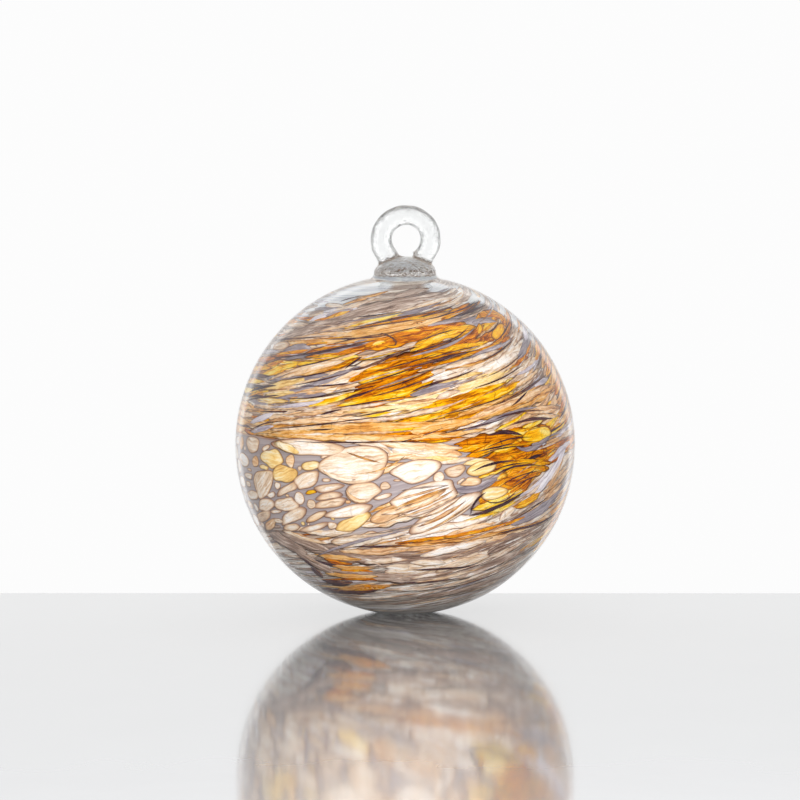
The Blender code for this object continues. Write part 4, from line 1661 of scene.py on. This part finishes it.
# %% Draw the veins
VEIN_CELL = 2.6
CRINKLE = 1.1
NET_STRETCH = (0.42, 1.0, 1.0)
VEIN_PATCHES_PER_MM = 0.35
VEIN_WIDTHS = {"From Min": 0.42, "From Max": 0.62, "To Min": 0.004, "To Max": 0.07}
CRINKLE_WIDTH = 0.03
CELL_VEIN_SHARE = 0.6
CRINKLE_SHARE = 0.5
MIX_SHARE, FLOAT_FROM, FLOAT_TO, MIX_FROM, MIX_TO, MIX_RESULT = 0, 2, 3, 6, 7, 2


def draw_veins(add, read, bent, patch, strength):
    """How strongly veins and crinkles cover the glass, from 0 to 1."""
    flat = add("VectorMath", {0: bent, 1: NET_STRETCH}, "Vector", operation="MULTIPLY")
    net = {"Vector": flat, "Scale": 1 / VEIN_CELL}
    border = add("TexVoronoi", net, "Distance", feature="DISTANCE_TO_EDGE")
    width = add("MapRange", {"Value": patch, **VEIN_WIDTHS}, "Result")
    strengths = {"Value": read["drawn"], "To Min": CELL_VEIN_SHARE * strength, "To Max": strength}
    faint = add("MapRange", strengths, "Result")
    fading = {"Value": border, "From Max": width, "To Min": faint, "To Max": 0.0}
    vein = add("MapRange", fading, "Result")
    folds = {"Vector": flat, "Scale": 1 / CRINKLE, "Detail": 2.5, "Distortion": 1.2}
    fold = add("TexNoise", folds, "Fac")
    fold = add("Math", {0: fold, 1: 0.5}, "Value", operation="SUBTRACT")
    fold = add("Math", {0: fold}, "Value", operation="ABSOLUTE")
    fading = {"Value": fold, "From Max": CRINKLE_WIDTH, "To Min": CRINKLE_SHARE * strength, "To Max": 0.0}
    crinkle = add("MapRange", fading, "Result")
    return add("Math", {0: vein, 1: crinkle}, "Value", operation="MAXIMUM")


# %% [markdown]
# ## The rim
# The rim starts at the edge and reaches inward a little raggedly, as far as the cords let it. On a cell it
# goes all round. On a streak it shows fully in patches only, because the twist thinned it elsewhere.

# %% Draw the rim
RIM_PATCHES = {"From Min": 0.40, "From Max": 0.60, "To Min": 0.2}
RIM_FADES_FROM = 0.15


def draw_rim(add, read, cord, patch, rim, rim_width):
    """How strongly the rim covers the glass, from 0 to 1, and its colour."""
    nibbled = {0: cord, 1: -0.5 * rim_width, 2: read["from_edge"]}
    ragged = add("Math", nibbled, "Value", operation="MULTIPLY_ADD")
    span = {"Value": ragged, "From Min": -0.25 * rim_width, "From Max": 0.75 * rim_width}
    inward = add("MapRange", span, "Result")
    shown = add("MapRange", {"Value": patch, **RIM_PATCHES}, "Result")
    on_streaks = {MIX_SHARE: read["drawn"], FLOAT_FROM: 1.0, FLOAT_TO: shown}
    shown = add("Mix", on_streaks, "Result", data_type="FLOAT")
    fading = {"Value": inward, "From Min": RIM_FADES_FROM, "To Min": shown, "To Max": 0.0}
    share = add("MapRange", fading, "Result")
    return share, add("ValToRGB", {"Fac": inward}, "Color", stops=rim)


# %% [markdown]
# ## Cords, veins and rim together
# The colour is fused to the clear glass over it and has no surface of its own, so it gets no shine, only a
# faint relief of its cords. The powder further down is fused in the same way and shares that last step.

# %% Put the frit's finish together
READ = {"grain": "Vector", "from_edge": "Fac", "tone": "Fac", "drawn": "Fac"}
FUSED_RELIEF = 0.1 * MM


def fuse_in(add, tint, height):
    """Ends a finish with coloured glass that has no shine, with this relief."""
    bump = add("Bump", {"Height": height, "Strength": 0.2, "Distance": FUSED_RELIEF}, "Normal")
    glass = {"Base Color": tint, "Roughness": 0.5, "Specular IOR Level": 0.0, "Normal": bump}
    add("OutputMaterial", {"Surface": add("BsdfPrincipled", glass, "BSDF")})


def frit_glass(name, cords, rim, rim_width, vein, vein_strength):
    """Coloured glass: cord colours from dark to light, rim colours from the edge in, and a vein colour."""
    finish, add = new_finish(name)
    read = {value: add("Attribute", out=out, attribute_name=value) for value, out in READ.items()}
    bent = bent_grain(add, read["grain"])
    patches = {"Vector": read["grain"], "Scale": VEIN_PATCHES_PER_MM, "Detail": 1.0}
    patch = add("TexNoise", patches, "Fac")
    cord, tint = draw_cords(add, read, bent, cords)
    veins = draw_veins(add, read, bent, patch, vein_strength)
    veined = {MIX_SHARE: veins, MIX_FROM: tint, MIX_TO: colour(vein)}
    tint = add("Mix", veined, MIX_RESULT, data_type="RGBA")
    share, rim_tint = draw_rim(add, read, cord, patch, rim, rim_width)
    rimmed = {MIX_SHARE: share, MIX_FROM: tint, MIX_TO: rim_tint}
    fuse_in(add, add("Mix", rimmed, MIX_RESULT, data_type="RGBA"), cord)
    print(name, "has", len(finish.node_tree.nodes), "nodes")
    return finish


# %% [markdown]
# ## The ten glasses
# Amber is made with sulphur and iron, and runs from yellow where it is thin to brown where it is thick.
# Gold and straw are the same glass at its thinnest, and honey is a browner batch. Ivory and peach are opal
# glasses, with milky veils. Smoke, lilac and taupe are greys with a little manganese, and umber is all of
# them piled up dark. Cord colours run from dark to light, and rim colours from the edge inward. A finish
# has its name, its rim's width in millimetres, its veins' colour and how strongly they show.

# %% Give each glass its colours
CORDS = {
    "amber": [
        (0.20, "#6A3208"),
        (0.33, "#B05A00"),
        (0.44, "#D87C00"),
        (0.55, "#EE9B00"),
        (0.67, "#FBB800"),
        (0.84, "#FFE27A"),
    ],
    "gold": [(0.20, "#9A5408"), (0.33, "#E09400"), (0.44, "#FFBC0C"), (0.56, "#FFD426"), (0.70, "#FFEA8A")],
    "straw": [(0.20, "#C08C48"), (0.33, "#E8BE74"), (0.45, "#F8D890"), (0.57, "#FEE7AE"), (0.72, "#FFF8E4")],
    "honey": [(0.20, "#6E4020"), (0.34, "#C0803E"), (0.46, "#E2A452"), (0.57, "#F0BC70"), (0.72, "#F9DCAC")],
    "ivory": [(0.20, "#B8947C"), (0.32, "#DCBE9E"), (0.43, "#F0DCC4"), (0.54, "#F9F0E6"), (0.70, "#FFFEFD")],
    "peach": [(0.20, "#A4744E"), (0.34, "#DCA878"), (0.46, "#F2CA9A"), (0.58, "#FAE0BE"), (0.74, "#FFF8EC")],
    "smoke": [(0.20, "#766A76"), (0.36, "#92888F"), (0.50, "#A49AA0"), (0.64, "#B8AEB4"), (0.82, "#E2DEE2")],
    "lilac": [(0.20, "#A69CAC"), (0.40, "#D2CAD5"), (0.55, "#E4DEE6"), (0.75, "#F8F5F8")],
    "taupe": [(0.20, "#6E5448"), (0.36, "#947868"), (0.50, "#B29888"), (0.64, "#D6C0B0"), (0.82, "#F8EEE4")],
    "umber": [(0.20, "#2A1820"), (0.40, "#4A323A"), (0.55, "#664648"), (0.70, "#8E6448"), (0.85, "#B98A5C")],
}
RIMS = {
    "amber": [(0.0, "#4A2614"), (0.4, "#84420A"), (1.0, "#CC7800")],
    "gold": [(0.0, "#6A3C18"), (0.4, "#A8640A"), (1.0, "#EEA400")],
    "straw": [(0.0, "#8A6448"), (0.4, "#C89850"), (1.0, "#F2CE84")],
    "honey": [(0.0, "#5C3A2A"), (0.4, "#8A5830"), (1.0, "#C08240")],
    "ivory": [(0.0, "#8C6C5E"), (0.3, "#BE9474"), (0.7, "#F0CFA2"), (1.0, "#F8E4C8")],
    "peach": [(0.0, "#866454"), (0.4, "#B88A5E"), (1.0, "#EBC08C")],
    "smoke": [(0.0, "#72646E"), (0.4, "#8A7E84"), (1.0, "#A0969C")],
    "lilac": [(0.0, "#85767F"), (0.4, "#B0A4AC"), (1.0, "#D6CED8")],
    "taupe": [(0.0, "#6A5A50"), (0.4, "#8A7A6E"), (1.0, "#B0A296")],
    "umber": [(0.0, "#2C1A22"), (0.4, "#42282E"), (1.0, "#5A3C40")],
}
FINISHES = {
    "amber": ("amber_frit", 0.45, "#5A2A08", 0.75),
    "gold": ("gold_frit", 0.45, "#8A4C05", 0.60),
    "straw": ("straw_frit", 0.6, "#A87A48", 0.40),
    "honey": ("honey_frit", 0.4, "#6A4020", 0.35),
    "ivory": ("ivory_opal_frit", 0.9, "#9C8478", 0.55),
    "peach": ("peach_opal_frit", 0.6, "#94705A", 0.45),
    "smoke": ("smoke_grey_frit", 0.4, "#746670", 0.30),
    "lilac": ("lilac_grey_frit", 0.4, "#9A8E98", 0.35),
    "taupe": ("taupe_grey_frit", 0.4, "#6E5E54", 0.35),
    "umber": ("umber_frit", 0.3, "#22121A", 0.50),
}
for kind, (name, rim_width, vein, vein_strength) in FINISHES.items():
    finish = frit_glass(name, CORDS[kind], RIMS[kind], rim_width, vein, vein_strength)
    glasses[kind].data.materials.append(finish)

# %% [markdown]
# ## Powder ground glass
# The ground was laid as fine powder. Because it was on the bubble before the twist, its clouds are noise
# drawn on the untwisted place, in grains of about 2 mm that the twist pulls to hairlines. Each zone has its
# own run of colours: beige and grey toward the crown, and over it amber and dark brown behind the amber
# frit, silver with brown toward the base, and a flat lilac-grey between the calm cells. Toward the base the
# run is made lighter still, as painted light for the underside that the lamps leave in shade. Where almost
# no powder stuck, it fades to a pale blue-white: painted light that stands in for the light seen through
# bare clear glass. A zone gives the value that it follows, its colours, and where it starts and is complete.

# %% Finish the ground
POWDER_GRAIN = 2.2
POWDER_CLOUD = 9.0
FINE_SHARE = 0.85
CLOUDY_SHARE = 0.5
MIDDLE_SHIFT = 0.175
CROWN_RUN = [(0.38, "#8A7264"), (0.45, "#AE9686"), (0.51, "#C8B2A0"), (0.57, "#E2D2C2"), (0.66, "#F8F2E8")]
AMBER_RUN = [(0.38, "#5A3020"), (0.44, "#A86414"), (0.50, "#E0920C"), (0.56, "#F8B40A"), (0.66, "#FFE4A0")]
CALM_RUN = [(0.38, "#ACA0A2"), (0.50, "#B8ADAF"), (0.62, "#C4BABB")]
# Toward the base the silver runs up to white, partly as painted light for the shaded underside.
PAINTED_LIGHT_BASE_RUN = [(0.38, "#76675E"), (0.45, "#A89C92"), (0.51, "#D2C9BF"), (0.57, "#F4F0EA"), (0.66, "#FFFFFF")]
# Painted light: the bare powder takes the pale blue-white of light seen through clear glass.
BARE_PAINTED_LIGHT_RUN = [(0.38, "#CCCED6"), (0.48, "#E7EAED"), (0.60, "#F8FAFA")]
ZONES = [
    ("warm", AMBER_RUN, 0.35, 0.75),
    ("height", PAINTED_LIGHT_BASE_RUN, -0.48, -0.66),
    ("calm", CALM_RUN, 0.3, 0.8),
    ("bare", BARE_PAINTED_LIGHT_RUN, 0.0, 0.8),
]


def powder_glass():
    finish, add = new_finish("powder_ground_glass")
    place = add("Attribute", out="Vector", attribute_name="untwisted")
    grains = {"Vector": place, "Scale": 1 / POWDER_GRAIN, "Detail": 4.0, "Roughness": 0.6}
    fine = add("TexNoise", grains, "Fac")
    clouds = {"Vector": place, "Scale": 1 / POWDER_CLOUD, "Detail": 3.0}
    cloud = add("TexNoise", clouds, "Fac")
    level = add("Math", {0: cloud, 1: CLOUDY_SHARE}, "Value", operation="MULTIPLY")
    level = add("Math", {0: fine, 1: FINE_SHARE, 2: level}, "Value", operation="MULTIPLY_ADD")
    level = add("Math", {0: level, 1: MIDDLE_SHIFT}, "Value", operation="SUBTRACT")
    tint = add("ValToRGB", {"Fac": level}, "Color", stops=CROWN_RUN)
    for zone, powder, start, end in ZONES:
        share = add("Attribute", out="Fac", attribute_name=zone)
        share = add("MapRange", {"Value": share, "From Min": start, "From Max": end}, "Result")
        layer = add("ValToRGB", {"Fac": level}, "Color", stops=powder)
        layers = {MIX_SHARE: share, MIX_FROM: tint, MIX_TO: layer}
        tint = add("Mix", layers, MIX_RESULT, data_type="RGBA")
    fuse_in(add, tint, fine)
    print(finish.name, "has", len(finish.node_tree.nodes), "nodes")
    return finish


ground.data.materials.append(powder_glass())

# %% [markdown]
# ## The studio
# Glass shows only what is round it. In an evenly white room a clear loop would vanish, so the room is
# white behind and beside the ball and greyer behind the camera, which draws a soft dark line inside each
# edge. Bright panels stand all round, behind the ball and just out of the picture, and its edge mirrors
# them as a pale ring. The three spans say how far toward the back the grey turns to white, the panels'
# light sets in, and it is over again.

# %% Light the room
ROOM_WHITE = 0.976
ROOM_GREY = 0.12
SIDE_PANELS = 3.2
CEILING_SHARE = 0.65
SHADE_SPAN = {"From Min": 0.10, "From Max": 0.85}
PANEL_START = {"From Min": 0.80, "From Max": 0.92}
PANEL_END = {"From Min": 0.96, "From Max": 0.80}


def light_room():
    world = bpy.data.worlds.new("studio_room")
    bpy.context.scene.world = world
    world.use_nodes = True
    world.node_tree.nodes.clear()
    add = partial(add_node, world.node_tree)
    toward = add("TexCoord", out="Generated")
    parts = add("SeparateXYZ", {"Vector": toward}).outputs
    back = parts["Y"]
    ways = {0: parts["Z"], 1: CEILING_SHARE, 2: back}
    lit = add("Math", ways, "Value", operation="MULTIPLY_ADD")
    soft = {"out": "Result", "interpolation_type": "SMOOTHSTEP"}
    shades = {"Value": lit, **SHADE_SPAN, "To Min": ROOM_GREY, "To Max": ROOM_WHITE}
    shade = add("MapRange", shades, **soft)
    light = {"Value": back, **PANEL_END, "To Min": 1.0, "To Max": SIDE_PANELS}
    panels = add("MapRange", light, **soft)
    fading = add("MapRange", {"Value": back, **PANEL_START}, **soft)
    shares = {MIX_SHARE: fading, FLOAT_FROM: 1.0, FLOAT_TO: panels}
    strength = add("Mix", shares, "Result", data_type="FLOAT")
    room = add("Background", {"Color": shade, "Strength": strength}, "Background")
    add("OutputWorld", {"Surface": room})
    print("the room has", len(world.node_tree.nodes), "nodes")


light_room()

# %% [markdown]
# ## The lamps
# A broad soft lamp on each side lights the colour, and a smaller one stands low in front, so the ball's
# lower half isn't lost in shade. They light but aren't mirrored or seen through the glass, where they
# would show as hard discs. A row gives a lamp's name, its place and its width in metres, and its watts.

# %% Hang the lamps
LAMPS = [
    ("key_lamp", (-0.5, -0.85, 0.2), 0.5, 4.4),
    ("fill_lamp", (0.45, -0.9, 0.14), 0.45, 5.3),
    ("low_lamp", (0.1, -0.62, 0.04), 0.3, 1.6),
]
BALL_MIDDLE = Vector((0, 0, MIDDLE_HEIGHT * MM))


def soft_lamp(name, place, size, power):
    lamp = bpy.data.lights.new(name, "AREA")
    lamp.shape = "DISK"
    lamp.size = size
    lamp.energy = power
    holder = add_object(name, lamp)
    holder.location = place
    holder.rotation_euler = (BALL_MIDDLE - Vector(place)).to_track_quat("-Z", "Y").to_euler()
    holder.visible_glossy = False
    holder.visible_transmission = False
    holder.visible_camera = False


for row in LAMPS:
    soft_lamp(*row)
print(len(LAMPS), "lamps")

# %% [markdown]
# ## The table
# The ball stands on a pale lacquered board, slightly glossy, which gives it a soft mirror image. The
# board's edges are eased by 3 mm, and its lacquer has faint clouds about 25 mm across.

# %% Lay the table
TABLE_FRONT = -0.9
TABLE_BACK = 0.045
TABLE_HALF_WIDTH = 1.2
TABLE_THICKNESS = 0.02
TABLE_BEVEL = 3 * MM
LACQUER_CLOUD = 25.0
LACQUER_TINTS = [(0.3, "#C6C8CB"), (0.7, "#CACCCF")]


def lacquered_board():
    finish, add = new_finish("pale_lacquered_board")
    spot = add("TexCoord", out="Object")
    clouds = {"Vector": spot, "Scale": 1 / (LACQUER_CLOUD * MM), "Detail": 5.0}
    cloud = add("TexNoise", clouds, "Fac")
    lacquer = {
        "Base Color": add("ValToRGB", {"Fac": cloud}, "Color", stops=LACQUER_TINTS),
        "Roughness": add("MapRange", {"Value": cloud, "To Min": 0.07, "To Max": 0.12}, "Result"),
        "IOR": 1.5,
        "Coat Weight": 1.0,
        "Coat Roughness": 0.06,
    }
    add("OutputMaterial", {"Surface": add("BsdfPrincipled", lacquer, "BSDF")})
    return finish


def make_table():
    shape = bmesh.new()
    bmesh.ops.create_cube(shape, size=1.0)
    middle = (TABLE_FRONT + TABLE_BACK) / 2
    for vert in shape.verts:
        vert.co.x *= 2 * TABLE_HALF_WIDTH
        vert.co.y = vert.co.y * (TABLE_BACK - TABLE_FRONT) + middle
        vert.co.z = (vert.co.z - 0.5) * TABLE_THICKNESS
    bmesh.ops.bevel(shape, geom=shape.edges, offset=TABLE_BEVEL, segments=3, affect="EDGES")
    mesh = bpy.data.meshes.new("table_top")
    shape.to_mesh(mesh)
    shape.free()
    mesh.materials.append(lacquered_board())
    return add_object("table_top", mesh)


table = make_table()
print("table:", len(table.data.polygons), "faces")

# %% [markdown]
# ## The camera
# The view is from the front and a little above, through a long lens, as a product picture is taken. The
# lens is worked out from how many picture elements a millimetre takes up at the ball's distance. Glass
# needs many bounces of light, because each surface that a ray passes takes one.

# %% Set up the camera
PIXELS_PER_MM = 3.4
IMAGE_WIDTH = 800
SENSOR_WIDTH = 36.0
BALL_RIGHT_OF_MIDDLE = 1.5 * MM
BALL_BELOW_MIDDLE = 13.1 * MM
LIGHT_BOUNCES = 32


def make_camera():
    data = bpy.data.cameras.new("camera")
    camera = add_object("camera", data)
    bpy.context.scene.camera = camera
    data.sensor_width = SENSOR_WIDTH
    data.lens = PIXELS_PER_MM / MM * CAMERA_DISTANCE / IMAGE_WIDTH * SENSOR_WIDTH
    camera.location = BALL_MIDDLE + Vector(TOWARD_CAMERA) * CAMERA_DISTANCE
    aim = BALL_MIDDLE + Vector(SCREEN_UP) * BALL_BELOW_MIDDLE - Vector((BALL_RIGHT_OF_MIDDLE, 0, 0))
    camera.rotation_euler = (aim - camera.location).to_track_quat("-Z", "Y").to_euler()
    print(f"lens {data.lens:.0f} mm")


make_camera()
bpy.context.scene.view_settings.view_transform = "Standard"
bpy.context.scene.cycles.max_bounces = LIGHT_BOUNCES
bpy.context.scene.cycles.transmission_bounces = LIGHT_BOUNCES

# %% [markdown]
# ## The pieces on the ball
# Every piece rides on the one body of the ball. The clear casing stands for the solid model of the ball,
# which is hidden. The casing casts no shadow, so the lamps reach the colour under it as they do through
# real clear glass.

# %% Ride on the ball's body
COLOUR_PIECES = list(glasses.values())
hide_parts("glass_ball")
for piece in [casing, ground] + COLOUR_PIECES:
    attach(piece, "root")
casing.visible_shadow = False
